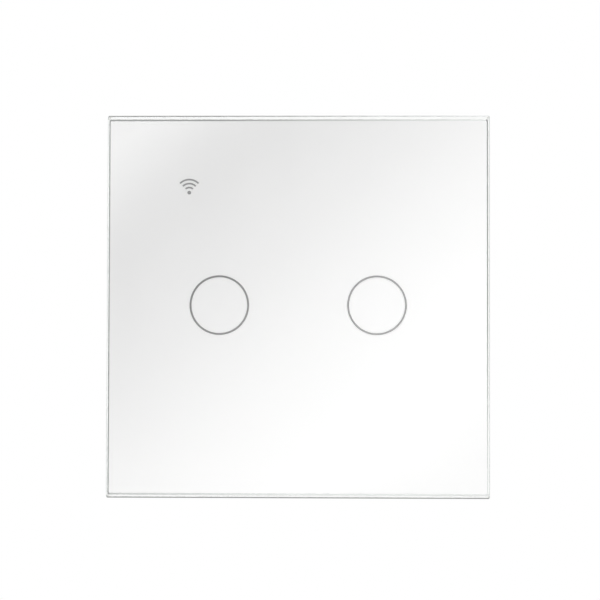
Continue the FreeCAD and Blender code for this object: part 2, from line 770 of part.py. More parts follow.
def build_rear_housing():
    """Moulded octagonal housing with a lower step, where the terminal block comes through."""
    body = new_body("rear_housing")
    outline = face_sketch(body, "housing_outline", step_rear)
    draw_polygon(outline, octagon(housing_half, s.housing_cut))
    pad(body, "shallow_block", outline, s.step_depth + s.yoke_thickness)
    deep = face_sketch(body, "deep_outline", housing_rear)
    flat = housing_half - s.housing_cut
    draw_polygon(deep, [(-housing_half, -s.step_edge), (housing_half, -s.step_edge),
                        (housing_half, flat), (flat, housing_half),
                        (-flat, housing_half), (-housing_half, flat)])
    pad(body, "deep_block", deep, s.housing_depth - s.step_depth)
    chamfer(body, "rear_edges", "Y", -housing_rear, s.housing_chamfer)
    flange = face_sketch(body, "flange_outline", s.seat_depth - s.flange_thickness)
    draw_polygon(flange, octagon(s.flange_width / 2, s.flange_cut))
    pad(body, "flange", flange, s.flange_thickness)
    hollow = face_sketch(body, "hollow_outline", s.yoke_thickness)
    draw_polygon(hollow, octagon(inside_half, inside_cut))
    pocket(body, "shallow_hollow", hollow, s.yoke_thickness - step_inside)
    deep_hollow = face_sketch(body, "deep_hollow_outline", step_inside)
    inside_flat = inside_half - inside_cut
    edge = s.housing_wall - s.step_edge
    draw_polygon(deep_hollow, [(-inside_half, edge), (inside_half, edge),
                               (inside_half, inside_flat), (inside_flat, inside_half),
                               (-inside_flat, inside_half), (-inside_half, inside_flat)])
    pocket(body, "deep_hollow", deep_hollow, step_inside - housing_inside)
    # The lower posts stand on the floor of the step and the upper ones on the deep floor
    for floor, j, end in ((step_inside, -1, "lower"), (housing_inside, 1, "upper")):
        bosses = face_sketch(body, f"{end}_boss_circles", floor)
        supports = face_sketch(body, f"{end}_support_outlines", floor)
        for i in SIDES:
            draw_circle(bosses, s.boss_across * i, s.boss_up * j, s.boss_diameter / 2)
            draw_box(supports, s.support_across * i, s.support_up * j, s.support_width, s.support_width)
        pad(body, f"{end}_bosses", bosses, s.yoke_thickness - floor)
        pad(body, f"{end}_supports", supports, power_rear - floor)
    pilots = face_sketch(body, "pilot_circles", s.yoke_thickness)
    for i, j in CORNERS:
        draw_circle(pilots, s.boss_across * i, s.boss_up * j, s.housing_screw_shank / 2 + s.screw_slip)
    pocket(body, "pilots", pilots, s.housing_screw_length - s.floor_thickness + s.pilot_spare)
    block = face_sketch(body, "block_window_outline", step_inside)
    reach = s.ways * s.way_spacing / 2 + s.block_end + s.block_slip
    draw_rectangle(block, -reach, reach, -(s.block_place + s.block_slip),
                   s.block_width + s.block_slip - s.block_place)
    pocket(body, "block_window", block, s.housing_wall)
    entries = level_sketch(body, "entry_window_outlines", -inside_half)
    for way in WAYS:
        draw_box(entries, way_across(way), -behind(s.bar_depth - s.entry_height / 2),
                 s.entry_window, s.entry_window)
    pocket(body, "entry_windows", entries, s.housing_wall)
    vents = face_sketch(body, "vent_outlines", housing_inside)
    for step in (-2.5, -1.5, -0.5, 0.5, 1.5, 2.5):
        for row in (0, 1):
            draw_box(vents, s.vent_spacing * step, s.vent_up - s.vent_row_spacing * row, s.vent_width,
                     s.vent_length)
    pocket(body, "vents", vents, s.housing_wall)


def build_screws(label, corners, under_head, across, up, shank, head, head_height, length):
    """Screws in one group, each with its head towards the room."""
    body = new_body(label)
    shanks = face_sketch(body, "shank_circles", under_head - length)
    heads = face_sketch(body, "head_circles", under_head)
    for i, j in corners:
        draw_circle(shanks, across * i, up * j, shank / 2)
        draw_circle(heads, across * i, up * j, head / 2)
    pad(body, "shanks", shanks, length)
    pad(body, "heads", heads, head_height)


# Touch board, with a spring and a lamp behind each touch key
def build_touch_board():
    """Circuit board behind the glass, notched and drilled to reach the screws behind it."""
    body = new_body("touch_board")
    outline = face_sketch(body, "board_outline", touch_rear)
    half = s.touch_board_width / 2
    half_up = s.touch_board_height / 2
    notch = s.touch_notch_width / 2
    reach = s.touch_notch_reach
    draw_polygon(outline, [(-half, -half_up), (half, -half_up), (half, -notch), (reach, -notch),
                           (reach, notch), (half, notch), (half, half_up), (-half, half_up),
                           (-half, notch), (-reach, notch), (-reach, -notch), (-half, -notch)])
    pad(body, "board", outline, s.touch_board_thickness)
    holes = face_sketch(body, "hole_outlines", touch_front)
    for i, j in BOARD_SCREW_CORNERS:
        draw_circle(holes, s.touch_screw_across * i, s.touch_screw_up * j,
                    s.board_screw_shank / 2 + s.hole_slip)
    for i, j in CORNERS:
        draw_octagon(holes, s.boss_across * i, s.boss_up * j,
                     s.housing_screw_head / 2 + s.screw_head_room)
    pin_hole = s.pin_width + s.hole_slip
    for pin in PINS:
        draw_box(holes, pin_across(pin), s.header_up, pin_hole, pin_hole)
    pocket(body, "holes", holes, s.touch_board_thickness)


def read(size):
    """A length as the sheet holds it."""
    return float(sheet.evalExpression(as_size(size).formula))


def build_touch_spring(name, side):
    """Open coil that carries the touch signal from the board to the back of the printed glass.

    Each half turn is an arc in a tilted plane about the axis. The tilt changes sides from one
    half turn to the next, so the arcs meet in line and the wire climbs like a helix.
    """
    wire = read(s.spring_wire)
    low = read(touch_front + s.spring_foot) + wire / 2
    rise = read(tape_front - s.spring_gap) - wire / 2 - low
    half_turns = int(round(read(s.spring_turns) * 2))
    climb = rise / half_turns
    radius = read(s.spring_diameter - s.spring_wire) / 2
    bulge = math.hypot(radius, climb / 2)
    arcs = []
    for i in range(half_turns):
        way = -1 if i % 2 else 1
        start = FreeCAD.Vector(radius * way, -(low + climb * i), 0)
        middle = FreeCAD.Vector(0, -(low + climb * (i + 0.5)), bulge * way)
        end = FreeCAD.Vector(-radius * way, -(low + climb * (i + 1)), 0)
        arcs.append(Part.Arc(start, middle, end).toShape())
    corners = []
    for i in range(7):
        angle = math.pi * (i + 0.5) / 3
        corners.append(FreeCAD.Vector(radius + wire / 2 * math.cos(angle),
                                      wire / 2 * math.sin(angle) - low, 0))
    coil = Part.Wire(arcs).makePipeShell([Part.makePolygon(corners)], True, False)
    foot_base = FreeCAD.Vector(radius - wire / 2, -low, -wire / 2)
    foot = Part.makeBox(wire, low - read(touch_front), wire, foot_base)
    spring = doc.addObject("Part::Feature", f"touch_spring_{name}")
    spring.Label = f"touch_spring_{name}"
    spring.Shape = coil.fuse(foot)
    SUBPARTS.append(spring)
    place(spring, ring_across * side, s.ring_rise)
    if side > 0:
        points = [arc.discretize(25) for arc in arcs]
        gap = min(a.distanceToPoint(b) for i, first in enumerate(points) for second in points[i + 2:]
                  for a in first for b in second) - wire
        print(f"least gap between the turns of a touch spring: {gap:.3f} mm")


def build_light_shield(name, side):
    """Eight-sided foam wall that keeps the light of one lamp within its ring."""
    body = new_body(f"light_shield_{name}")
    outline = face_sketch(body, "wall_outline", touch_front)
    for half in (s.shield_inner / 2, s.shield_inner / 2 + s.shield_wall):
        draw_octagon(outline, ZERO, ZERO, half)
    pad(body, "wall", outline, tape_front - s.shield_gap - touch_front)
    place(body, ring_across * side, s.ring_rise)


def build_led(label, across, up):
    """Small lamp on the touch board: a flat base with a clear lens."""
    body = new_body(label)
    base = face_sketch(body, "base_outline", touch_front)
    draw_box(base, ZERO, ZERO, s.led_length, s.led_width)
    pad(body, "base", base, s.led_base)
    lens = face_sketch(body, "lens_outline", touch_front + s.led_base)
    draw_box(lens, ZERO, ZERO, s.led_lens_length, s.led_width)
    pad(body, "lens", lens, s.led_lens_height)
    place(body, across, up)


def build_touch_controller():
    """Flat chip with a row of leads on both long sides."""
    body = new_body("touch_controller")
    case = face_sketch(body, "case_outline", touch_front + s.chip_stand)
    draw_box(case, ZERO, ZERO, s.chip_length, s.chip_width)
    pad(body, "case", case, s.chip_height)
    leads = face_sketch(body, "lead_outlines", touch_front)
    for lead in range(int(SIZES["chip_leads"])):
        across = s.lead_spacing * (lead - (SIZES["chip_leads"] - 1) / 2)
        for side in SIDES:
            draw_box(leads, across, (s.chip_width + s.lead_reach / 2) / 2 * side, s.lead_width,
                     s.lead_reach * 1.5)
    pad(body, "leads", leads, s.lead_thickness)
    place(body, -s.chip_across, s.chip_up)


def build_radio_board():
    """Small board of the wireless module, soldered flat on the touch board."""
    body = new_body("radio_board")
    outline = face_sketch(body, "board_outline", touch_front)
    draw_box(outline, s.radio_across, s.radio_up, s.radio_width, s.radio_height)
    pad(body, "board", outline, s.radio_thickness)


def build_radio_shield():
    """Drawn steel can over the radio chip, open towards its board."""
    body = new_body("radio_shield")
    floor = touch_front + s.radio_thickness
    up = s.radio_up - (s.radio_height - s.can_size) / 2 + s.can_edge
    outline = face_sketch(body, "can_outline", floor)
    draw_box(outline, s.radio_across, up, s.can_size, s.can_size)
    pad(body, "can", outline, s.can_height)
    inside = face_sketch(body, "can_inside", floor + s.can_height - s.can_wall)
    draw_box(inside, s.radio_across, up, s.can_size - s.can_wall * 2, s.can_size - s.can_wall * 2)
    pocket(body, "hollow", inside, s.can_height - s.can_wall)


def build_board_header():
    """Pin header on the rear of the touch board."""
    body = new_body("board_header")
    base = face_sketch(body, "base_outline", touch_rear - s.header_base)
    draw_box(base, ZERO, s.header_up, s.pin_spacing * s.pin_count, s.header_width)
    pad(body, "base", base, s.header_base)
    tip = touch_rear - s.header_base - s.header_gap - s.pin_reach
    pins = face_sketch(body, "pin_outlines", tip)
    for pin in PINS:
        draw_box(pins, pin_across(pin), s.header_up, s.pin_width, s.pin_width)
    pad(body, "pins", pins, touch_front + s.pin_tail - tip)


def build_header_socket():
    """Socket on the front of the power board that takes the header pins."""
    body = new_body("header_socket")
    top = touch_rear - s.header_base - s.header_gap
    block = face_sketch(body, "block_outline", power_front)
    draw_box(block, ZERO, s.header_up, s.pin_spacing * s.pin_count, s.header_width)
    pad(body, "block", block, top - power_front)
    holes = face_sketch(body, "hole_outlines", top)
    for pin in PINS:
        draw_box(holes, pin_across(pin), s.header_up, s.pin_width + s.pin_slip * 2,
                 s.pin_width + s.pin_slip * 2)
    pocket(body, "holes", holes, s.pin_reach + s.pin_slip)


# Power board and what stands on its rear
def build_power_board():
    """Circuit board between the housing supports and the press posts of the base frame."""
    body = new_body("power_board")
    outline = face_sketch(body, "board_outline", power_rear)
    draw_polygon(outline, octagon(inside_half - s.board_slip, inside_cut - s.board_slip * CUT_SHARE))
    pad(body, "board", outline, s.power_board_thickness)
    cuts = face_sketch(body, "cut_outlines", power_front)
    for i, j in CORNERS:
        draw_octagon(cuts, s.boss_across * i, s.boss_up * j, s.boss_diameter / 2 + s.board_slip)
    for way in WAYS:
        draw_box(cuts, way_across(way), (leg_low + leg_high) / 2, s.bar_width + s.hole_slip * 2,
                 s.bar_thickness + s.hole_slip * 2)
    pocket(body, "cuts", cuts, s.power_board_thickness)


def build_terminal_block():
    """Moulded block with a chamber for each rising cage. A lip keeps each screw in."""
    body = new_body("terminal_block")
    block = face_sketch(body, "block_outline", behind(s.block_height))
    half = s.ways * s.way_spacing / 2 + s.block_end
    draw_rectangle(block, -half, half, -s.block_place, s.block_width - s.block_place)
    pad(body, "block", block, s.block_height)
    chambers = face_sketch(body, "chamber_outlines", power_rear)
    heads = face_sketch(body, "head_circles", behind(s.clamp_screw_depth))
    lips = face_sketch(body, "lip_circles", behind(s.block_height - s.lip_thickness))
    chamber_half = s.cage_width / 2 + s.cage_slip
    for way in WAYS:
        across = way_across(way)
        draw_rectangle(chambers, across - chamber_half, across + chamber_half,
                       cage_low - s.cage_slip, leg_high + s.cage_slip)
        draw_circle(heads, across, screw_up, s.clamp_screw_head / 2 + s.clamp_head_slip)
        draw_circle(lips, across, screw_up, s.lip_hole / 2)
    pocket(body, "chambers", chambers, s.clamp_screw_depth)
    pocket(body, "head_pockets", heads, s.block_height - s.lip_thickness - s.clamp_screw_depth)
    pocket(body, "driver_holes", lips, s.lip_thickness)
    entries = level_sketch(body, "entry_outlines", s.block_wall - s.block_place)
    for way in WAYS:
        draw_box(entries, way_across(way), -behind(s.bar_depth - s.entry_height / 2),
                 s.entry_width, s.entry_height)
    pocket(body, "entries", entries, s.block_wall)
    chamfer(body, "entry_funnels", "Z", -s.block_place, s.entry_chamfer, s.way_spacing.number)


def build_contact_bar(way):
    """Tinned brass bar through a cage, with a leg soldered into the power board."""
    body = new_body(f"contact_bar_{way + 1}")
    bar = face_sketch(body, "bar_outline", behind(s.bar_depth + s.bar_thickness))
    draw_rectangle(bar, -s.bar_width / 2, s.bar_width / 2, cage_low, leg_high)
    pad(body, "bar", bar, s.bar_thickness)
    leg = face_sketch(body, "leg_outline", behind(s.bar_depth))
    draw_rectangle(leg, -s.bar_width / 2, s.bar_width / 2, leg_low, leg_high)
    pad(body, "leg", leg, s.bar_depth + s.power_board_thickness + s.bar_tail)
    place(body, way_across(way), ZERO)


def build_clamp_cage(way):
    """Rising cage: its threaded end wall rides on the screw and its floor lifts the wire."""
    body = new_body(f"clamp_cage_{way + 1}")
    near = -behind(s.cage_rest)
    far = near + s.cage_height
    half = s.cage_width / 2
    outline = level_sketch(body, "cage_outline", cage_low)
    draw_rectangle(outline, -half, half, near, far)
    draw_rectangle(outline, s.cage_wall - half, half - s.cage_wall, near + s.cage_floor, far - s.cage_nut)
    pad(body, "cage", outline, s.cage_length)
    hole = face_sketch(body, "thread_circle", behind(s.cage_rest + s.cage_height - s.cage_nut))
    draw_circle(hole, ZERO, screw_up, s.clamp_screw_shank / 2 + s.screw_slip)
    pocket(body, "thread_hole", hole, s.cage_nut)
    place(body, way_across(way), ZERO)


def build_terminal_screw(way):
    """M3 clamp screw. Its tip turns against the bar and its head under the lip of the block."""
    body = new_body(f"terminal_screw_{way + 1}")
    tip = s.bar_depth + s.bar_thickness + s.screw_slip
    end = s.clamp_screw_depth + s.clamp_screw_head_height
    turned(body, "screw", [(ZERO, behind(tip)), (s.clamp_screw_shank / 2, behind(tip)),
                           (s.clamp_screw_shank / 2, behind(s.clamp_screw_depth)),
                           (s.clamp_screw_head / 2, behind(s.clamp_screw_depth)),
                           (s.clamp_screw_head / 2, behind(end)), (ZERO, behind(end))])
    slot = face_sketch(body, "slot_outline", behind(end))
    draw_box(slot, ZERO, ZERO, s.clamp_screw_head * 1.1, s.drive_width)
    pocket(body, "slot", slot, s.drive_depth, backwards=True)
    place(body, way_across(way), screw_up)


# Relays: the coil pulls the armature onto its core and the blade closes the contact
armature_depth = core_top + s.armature_gap
blade_depth = armature_depth + s.armature_thickness
contact_front = blade_depth - s.contact_height
hinge_line = s.magnet_thickness - s.magnet_back


def build_relay(name, side):
    across = s.relay_across * side
    wall = s.relay_wall

    case = new_body(f"relay_{name}_case")
    outline = face_sketch(case, "case_outline", behind(relay_height))
    draw_box(outline, ZERO, ZERO, s.relay_width, s.relay_length)
    pad(case, "block", outline, relay_height)
    chamfer(case, "rear_edges", "Y", -behind(relay_height), s.relay_wall / 2)
    inside = face_sketch(case, "case_inside", power_rear)
    draw_box(inside, ZERO, ZERO, s.relay_width - wall * 2, s.relay_length - wall * 2)
    pocket(case, "hollow", inside, relay_height - wall)
    place(case, across, s.relay_up)

    base = new_body(f"relay_{name}_base")
    outline = face_sketch(base, "base_outline", behind(s.relay_base))
    trim = (wall + s.relay_slip) * 2
    draw_box(outline, ZERO, ZERO, s.relay_width - trim, s.relay_length - trim)
    pad(base, "base", outline, s.relay_base)
    place(base, across, s.relay_up)

    magnet = new_body(f"relay_{name}_magnet")
    foot_depth = s.relay_base + s.magnet_thickness
    half = s.magnet_width / 2
    foot = face_sketch(magnet, "foot_outline", behind(foot_depth))
    draw_rectangle(foot, -half, half, -s.magnet_back, s.magnet_front)
    pad(magnet, "foot", foot, s.magnet_thickness)
    back_depth = armature_depth - s.hinge_slip
    back = face_sketch(magnet, "back_outline", behind(back_depth))
    draw_rectangle(back, -half, half, -s.magnet_back, hinge_line)
    pad(magnet, "back", back, back_depth - foot_depth)
    core = face_sketch(magnet, "core_outline", behind(core_top))
    draw_box(core, ZERO, s.coil_place, s.core_side, s.core_side)
    pad(magnet, "core", core, core_top - foot_depth)
    place(magnet, across, s.relay_up)

    coil = new_body(f"relay_{name}_coil")
    rim = s.coil_flange_height
    for end, depth in (("near", foot_depth + rim), ("far", coil_top)):
        flange = face_sketch(coil, f"{end}_flange_outline", behind(depth))
        draw_box(flange, ZERO, ZERO, s.coil_flange * 2, s.coil_flange * 2)
        pad(coil, f"{end}_flange", flange, rim)
    winding = face_sketch(coil, "winding_circle", behind(coil_top - rim))
    draw_circle(winding, ZERO, ZERO, s.coil_radius)
    pad(coil, "winding", winding, coil_top - foot_depth - rim * 2)
    bore = face_sketch(coil, "bore_outline", behind(foot_depth))
    draw_box(bore, ZERO, ZERO, s.core_side + s.core_slip * 2, s.core_side + s.core_slip * 2)
    pocket(coil, "bore", bore, coil_top - foot_depth)
    place(coil, across, s.relay_up + s.coil_place)

    contact = new_body(f"relay_{name}_contact")
    face_depth = contact_front - s.contact_gap
    strip_depth = face_depth - s.contact_height
    half = s.strip_width / 2
    button = face_sketch(contact, "button_outline", behind(face_depth))
    draw_octagon(button, ZERO, s.contact_place, s.contact_radius)
    pad(contact, "button", button, s.contact_height)
    strip = face_sketch(contact, "strip_outline", behind(strip_depth))
    draw_rectangle(strip, -half, half, s.contact_place - s.contact_radius, s.strip_back)
    pad(contact, "strip", strip, s.strip_thickness)
    leg = face_sketch(contact, "leg_outline", behind(strip_depth - s.strip_thickness))
    draw_rectangle(leg, -half, half, s.strip_back - s.strip_thickness, s.strip_back)
    pad(contact, "leg", leg, strip_depth - s.strip_thickness - s.relay_base)
    place(contact, across, s.relay_up)

    armature = new_body(f"relay_{name}_armature")
    half = s.magnet_width / 2
    plate = face_sketch(armature, "plate_outline", behind(blade_depth))
    draw_rectangle(plate, -half, half, -(s.magnet_back + s.armature_tail), s.armature_reach)
    pad(armature, "plate", plate, s.armature_thickness)
    half = s.blade_width / 2
    blade = face_sketch(armature, "blade_outline", behind(blade_depth + s.blade_thickness))
    draw_rectangle(blade, -half, half, -s.blade_start, s.contact_place + s.contact_radius)
    pad(armature, "blade", blade, s.blade_thickness)
    button = face_sketch(armature, "button_outline", behind(blade_depth))
    draw_octagon(button, ZERO, s.contact_place, s.contact_radius)
    pad(armature, "button", button, s.contact_height)
    place(armature, across, s.relay_up)


def build_transformer():
    """Small switching transformer: ferrite core, bobbin and winding about its middle leg."""
    near = -behind(s.core_stand)
    far = near + s.core_height
    yoke = s.core_leg / 2
    half = s.core_width / 2
    core = new_body("transformer_core")
    outline = level_sketch(core, "core_outline", -s.core_length / 2)
    draw_rectangle(outline, -half, half, near, far)
    for side in SIDES:
        inner = s.core_leg / 2 * side
        outer = (half - yoke) * side
        low, high = (outer, inner) if side < 0 else (inner, outer)
        draw_rectangle(outline, low, high, near + yoke, far - yoke)
    pad(core, "core", outline, s.core_length)
    place(core, ZERO, s.core_up)

    # The bobbin is a tube on the middle leg with a flange at both ends and a foot at each side
    bore = s.core_leg / 2 + s.bobbin_slip
    bore_up = s.core_length / 2 + s.bobbin_slip
    tube = bore + s.bobbin_wall
    tube_up = bore_up + s.bobbin_wall
    flange = half - yoke - s.bobbin_slip
    front = behind(s.core_stand) - yoke - s.bobbin_slip
    rear = behind(s.core_stand + s.core_height) + yoke + s.bobbin_slip
    bobbin = new_body("transformer_bobbin")
    tube_sketch = face_sketch(bobbin, "tube_outline", rear)
    draw_rectangle(tube_sketch, -tube, tube, -tube_up, tube_up)
    draw_rectangle(tube_sketch, -bore, bore, -bore_up, bore_up)
    pad(bobbin, "tube", tube_sketch, front - rear)
    for name, height in (("rear", rear), ("front", front - s.bobbin_flange)):
        sketch = face_sketch(bobbin, f"{name}_flange_outline", height)
        draw_box(sketch, ZERO, ZERO, flange * 2, s.bobbin_length)
        draw_rectangle(sketch, -bore, bore, -bore_up, bore_up)
        pad(bobbin, f"{name}_flange", sketch, s.bobbin_flange)
    feet = face_sketch(bobbin, "foot_outlines", front - s.bobbin_flange / 2)
    for side in SIDES:
        reach = s.bobbin_length / 2
        inner = bore_up + s.bobbin_wall
        low, high = (-reach, -inner) if side < 0 else (inner, reach)
        draw_rectangle(feet, -flange, flange, low, high)
    pad(bobbin, "feet", feet, power_rear - front + s.bobbin_flange / 2)
    place(bobbin, ZERO, s.core_up)

    winding = new_body("transformer_winding")
    outline = face_sketch(winding, "winding_outline", rear + s.bobbin_flange)
    draw_box(outline, ZERO, ZERO, (flange - s.winding_inset) * 2, s.winding_length)
    draw_rectangle(outline, -tube, tube, -tube_up, tube_up)
    pad(winding, "winding", outline, front - rear - s.bobbin_flange * 2)
    place(winding, ZERO, s.core_up)


def build_capacitor(label, diameter, height, across, up):
    """Upright electrolytic capacitor."""
    body = new_body(label)
    can = face_sketch(body, "can_circle", behind(height))
    draw_circle(can, ZERO, ZERO, diameter / 2)
    pad(body, "can", can, height)
    place(body, across, up)


def build_varistor():
    """Disc varistor that stands on edge on two leads."""
    body = new_body("surge_varistor")
    radius = s.varistor_diameter / 2
    disc = level_sketch(body, "disc_circle", -s.varistor_thickness / 2)
    draw_circle(disc, ZERO, -behind(s.varistor_stand + radius), radius)
    pad(body, "disc", disc, s.varistor_thickness)
    leads = face_sketch(body, "lead_outlines", behind(s.varistor_stand + radius / 2))
    for side in SIDES:
        draw_box(leads, radius / 2 * side, ZERO, s.varistor_lead, s.varistor_lead)
    pad(body, "leads", leads, s.varistor_stand + radius / 2)
    place(body, s.varistor_across, s.varistor_up)


def build_fuse_resistor():
    """Wire-wound fusible resistor with bent leads."""
    body = new_body("fuse_resistor")
    axis = s.fuse_stand + s.fuse_diameter / 2
    reach = s.fuse_length / 2 + s.fuse_lead * 2
    tube = level_sketch(body, "tube_circle", -s.fuse_length / 2)
    draw_circle(tube, ZERO, -behind(axis), s.fuse_diameter / 2)
    pad(body, "tube", tube, s.fuse_length)
    lead = level_sketch(body, "lead_outline", -reach)
    draw_box(lead, ZERO, -behind(axis), s.fuse_lead, s.fuse_lead)
    pad(body, "lead", lead, reach * 2)
    legs = face_sketch(body, "leg_outlines", behind(axis))
    for side in SIDES:
        draw_box(legs, ZERO, (reach - s.fuse_lead / 2) * side, s.fuse_lead, s.fuse_lead)
    pad(body, "legs", legs, axis)
    place(body, -s.fuse_across, ZERO)


def build_rectifier():
    """Bridge rectifier with four flat leads."""
    body = new_body("rectifier")
    case = face_sketch(body, "case_outline", behind(s.rectifier_height))
    draw_box(case, ZERO, ZERO, s.rectifier_width, s.rectifier_length)
    pad(body, "case", case, s.rectifier_height - s.chip_stand)
    leads = face_sketch(body, "lead_outlines", behind(s.lead_thickness))
    for i, j in CORNERS:
        draw_box(leads, s.rectifier_width / 2 * i, s.rectifier_length / 4 * j, s.lead_reach,
                 s.lead_width * 2)
    pad(body, "leads", leads, s.lead_thickness)
    place(body, s.rectifier_across, ZERO)


build_glass_plate()
build_white_print()
build_adhesive_tape()
build_panel_frame()
build_mounting_yoke()
build_base_frame()
build_rear_housing()
build_screws("housing_screws", CORNERS, floor_front, s.boss_across, s.boss_up,
                   s.housing_screw_shank, s.housing_screw_head, s.housing_screw_head_height,
                   s.housing_screw_length)
build_touch_board()
build_screws("board_screws", BOARD_SCREW_CORNERS, touch_front, s.touch_screw_across,
                   s.touch_screw_up, s.board_screw_shank, s.board_screw_head,
                   s.board_screw_head_height, s.board_screw_length)
for side, name in ((-1, "left"), (1, "right")):
    build_touch_ring(name, side)
    build_touch_spring(name, side)
    build_light_shield(name, side)
    build_led(f"touch_led_{name}", ring_across * side, s.ring_rise)
    build_relay(name, side)
build_led("status_led", -s.lamp_across, s.lamp_up)
build_touch_controller()
build_radio_board()
build_radio_shield()
build_board_header()
build_header_socket()
build_power_board()
build_terminal_block()
for way in WAYS:
    build_contact_bar(way)
    build_clamp_cage(way)
    build_terminal_screw(way)
build_transformer()
build_capacitor("filter_capacitor", s.filter_diameter, s.filter_height, -s.filter_across, s.filter_up)
build_capacitor("output_capacitor", s.output_diameter, s.output_height, s.output_across, s.output_up)
build_varistor()
build_fuse_resistor()
build_rectifier()

doc.recompute()
for obj in doc.Objects:
    if "Invalid" in obj.State or "Error" in obj.State:
        raise RuntimeError(f"{obj.Label} is {obj.State}")

os.makedirs("parts", exist_ok=True)
for body in SUBPARTS:
    shape = body.Shape
    if shape.isNull() or not shape.isValid():
        raise RuntimeError(f"{body.Label} has no valid shape")
    shape.exportStep(f"parts/{body.Label}.step")
print(f"{len(SUBPARTS)} sub-parts written")
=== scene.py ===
# %% [markdown]
# A square touch switch in glass.
#
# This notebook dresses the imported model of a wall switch: a sheet of clear glass with white ink
# on its back, clipped over a moulded base, with a housing behind it that goes into the wall.
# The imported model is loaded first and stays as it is. It gives every place and size below.

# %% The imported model
import math

import bmesh
import bpy
from mathutils import Matrix, Vector


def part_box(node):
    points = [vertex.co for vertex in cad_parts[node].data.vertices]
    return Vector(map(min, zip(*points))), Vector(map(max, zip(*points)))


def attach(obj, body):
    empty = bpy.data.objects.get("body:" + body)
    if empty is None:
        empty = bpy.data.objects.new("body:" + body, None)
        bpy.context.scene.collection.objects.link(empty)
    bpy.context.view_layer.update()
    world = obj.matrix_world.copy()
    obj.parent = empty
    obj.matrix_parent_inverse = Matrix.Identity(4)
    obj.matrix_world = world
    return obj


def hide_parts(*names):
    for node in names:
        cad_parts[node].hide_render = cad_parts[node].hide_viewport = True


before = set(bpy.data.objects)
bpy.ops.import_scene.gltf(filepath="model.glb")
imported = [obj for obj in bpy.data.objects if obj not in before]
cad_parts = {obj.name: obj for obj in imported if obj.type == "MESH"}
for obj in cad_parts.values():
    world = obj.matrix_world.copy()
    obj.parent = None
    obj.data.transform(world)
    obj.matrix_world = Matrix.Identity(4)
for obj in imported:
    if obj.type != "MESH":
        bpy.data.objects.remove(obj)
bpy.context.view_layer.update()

mm = 0.001
hair = 0.001 * mm
quarter = math.radians(90)
upright = (quarter, 0, 0)
print("pieces in the packed model:", len(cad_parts))

# %% [markdown]
# Every piece is shaped with the same few moves: start from a primitive, pick some of its faces
# or edges, and change only those. Blender's edit operators act on whatever is selected, so the
# picking is written as a test on a face or an edge, and all else is let go first.

# %% Picking faces and edges by a test
def let_go():
    """Leaves edit mode and selects nothing."""
    if bpy.context.object and bpy.context.object.mode == "EDIT":
        bpy.ops.object.mode_set(mode="OBJECT")
    bpy.ops.object.select_all(action="DESELECT")


def take(piece):
    """Selects one piece alone and makes it the active one."""
    let_go()
    piece.select_set(True)
    bpy.context.view_layer.objects.active = piece


def pick(piece, test, kind="FACE"):
    """Opens a piece in edit mode with only those faces or edges selected that pass the test."""
    take(piece)
    bpy.ops.object.mode_set(mode="EDIT")
    bpy.ops.mesh.select_mode(type=kind)
    bpy.ops.mesh.select_all(action="DESELECT")
    shape = bmesh.from_edit_mesh(piece.data)
    parts = shape.faces if kind == "FACE" else shape.edges
    chosen = [part for part in parts if test(part)]
    for part in chosen:
        part.select_set(True)
    bmesh.update_edit_mesh(piece.data)
    return len(chosen)


def everything(part):
    """The test that every face or edge passes."""
    return True


# %% Starting and finishing a piece
def start(name):
    """Names the new primitive and moves its place and size into its mesh."""
    piece = bpy.context.object
    piece.name = name
    bpy.ops.object.transform_apply(location=True, rotation=True, scale=True)
    return piece


def apply_modifier(piece, kind, **settings):
    """Adds a modifier with its settings and makes its result the piece's own mesh."""
    take(piece)
    modifier = piece.modifiers.new(kind.lower(), kind)
    for key, value in settings.items():
        setattr(modifier, key, value)
    bpy.ops.object.modifier_apply(modifier=modifier.name)


def joined(pieces):
    """Joins pieces into the first of them."""
    take(pieces[0])
    for piece in pieces:
        piece.select_set(True)
    bpy.ops.object.join()
    return pieces[0]


def surfaced(piece, *materials, smooth=35):
    """Turns the faces outwards, smooths the curved ones and puts the materials on."""
    pick(piece, everything)
    bpy.ops.mesh.normals_make_consistent(inside=False)
    take(piece)
    bpy.ops.object.shade_smooth_by_angle(angle=math.radians(smooth))
    piece.data.materials.clear()
    for material in materials:
        piece.data.materials.append(material)
    return piece


def finish(piece, body, slot, *materials, smooth=35):
    surfaced(piece, *materials, smooth=smooth)
    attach(piece, body)
    size = [round(side / mm, 2) for side in piece.dimensions]
    print(f"{piece.name}: {len(piece.data.polygons)} faces, {size} mm")
    return piece


# %% [markdown]
# A finish starts from a real material and from how its surface was made. Colours are written as
# sRGB hex values, the way a paint card or a picture gives them, and Blender works in linear
# light, so one function turns the one into the other. One more adds a node and wires it. No
# real surface has one flat colour, so most finishes mix two near tones by a noise.

# %% Colours and nodes
colour_a, colour_b, mixed = 6, 7, 2  # the colour sockets of a Mix node: two inputs, one output


def colour(value):
    """The linear RGBA colour of an sRGB hex value."""
    parts = [int(value[i:i + 2], 16) / 255 for i in (0, 2, 4)]
    return (*[p / 12.92 if p <= 0.04045 else ((p + 0.055) / 1.055) ** 2.4 for p in parts], 1.0)


def new_material(name):
    """A material with nothing in it but its output."""
    material = bpy.data.materials.new(name)
    material.use_nodes = True
    material.node_tree.nodes.clear()
    material.node_tree.nodes.new("ShaderNodeOutputMaterial")
    return material


def add(material, kind, links=(), **settings):
    """Adds a node. A link or value goes to a socket by its name or number."""
    node = material.node_tree.nodes.new(kind)
    for key, value in settings.items():
        setattr(node, key, value)
    for key, value in dict(links).items():
        if isinstance(value, bpy.types.NodeSocket):
            material.node_tree.links.new(value, node.inputs[key])
        else:
            node.inputs[key].default_value = value
    return node


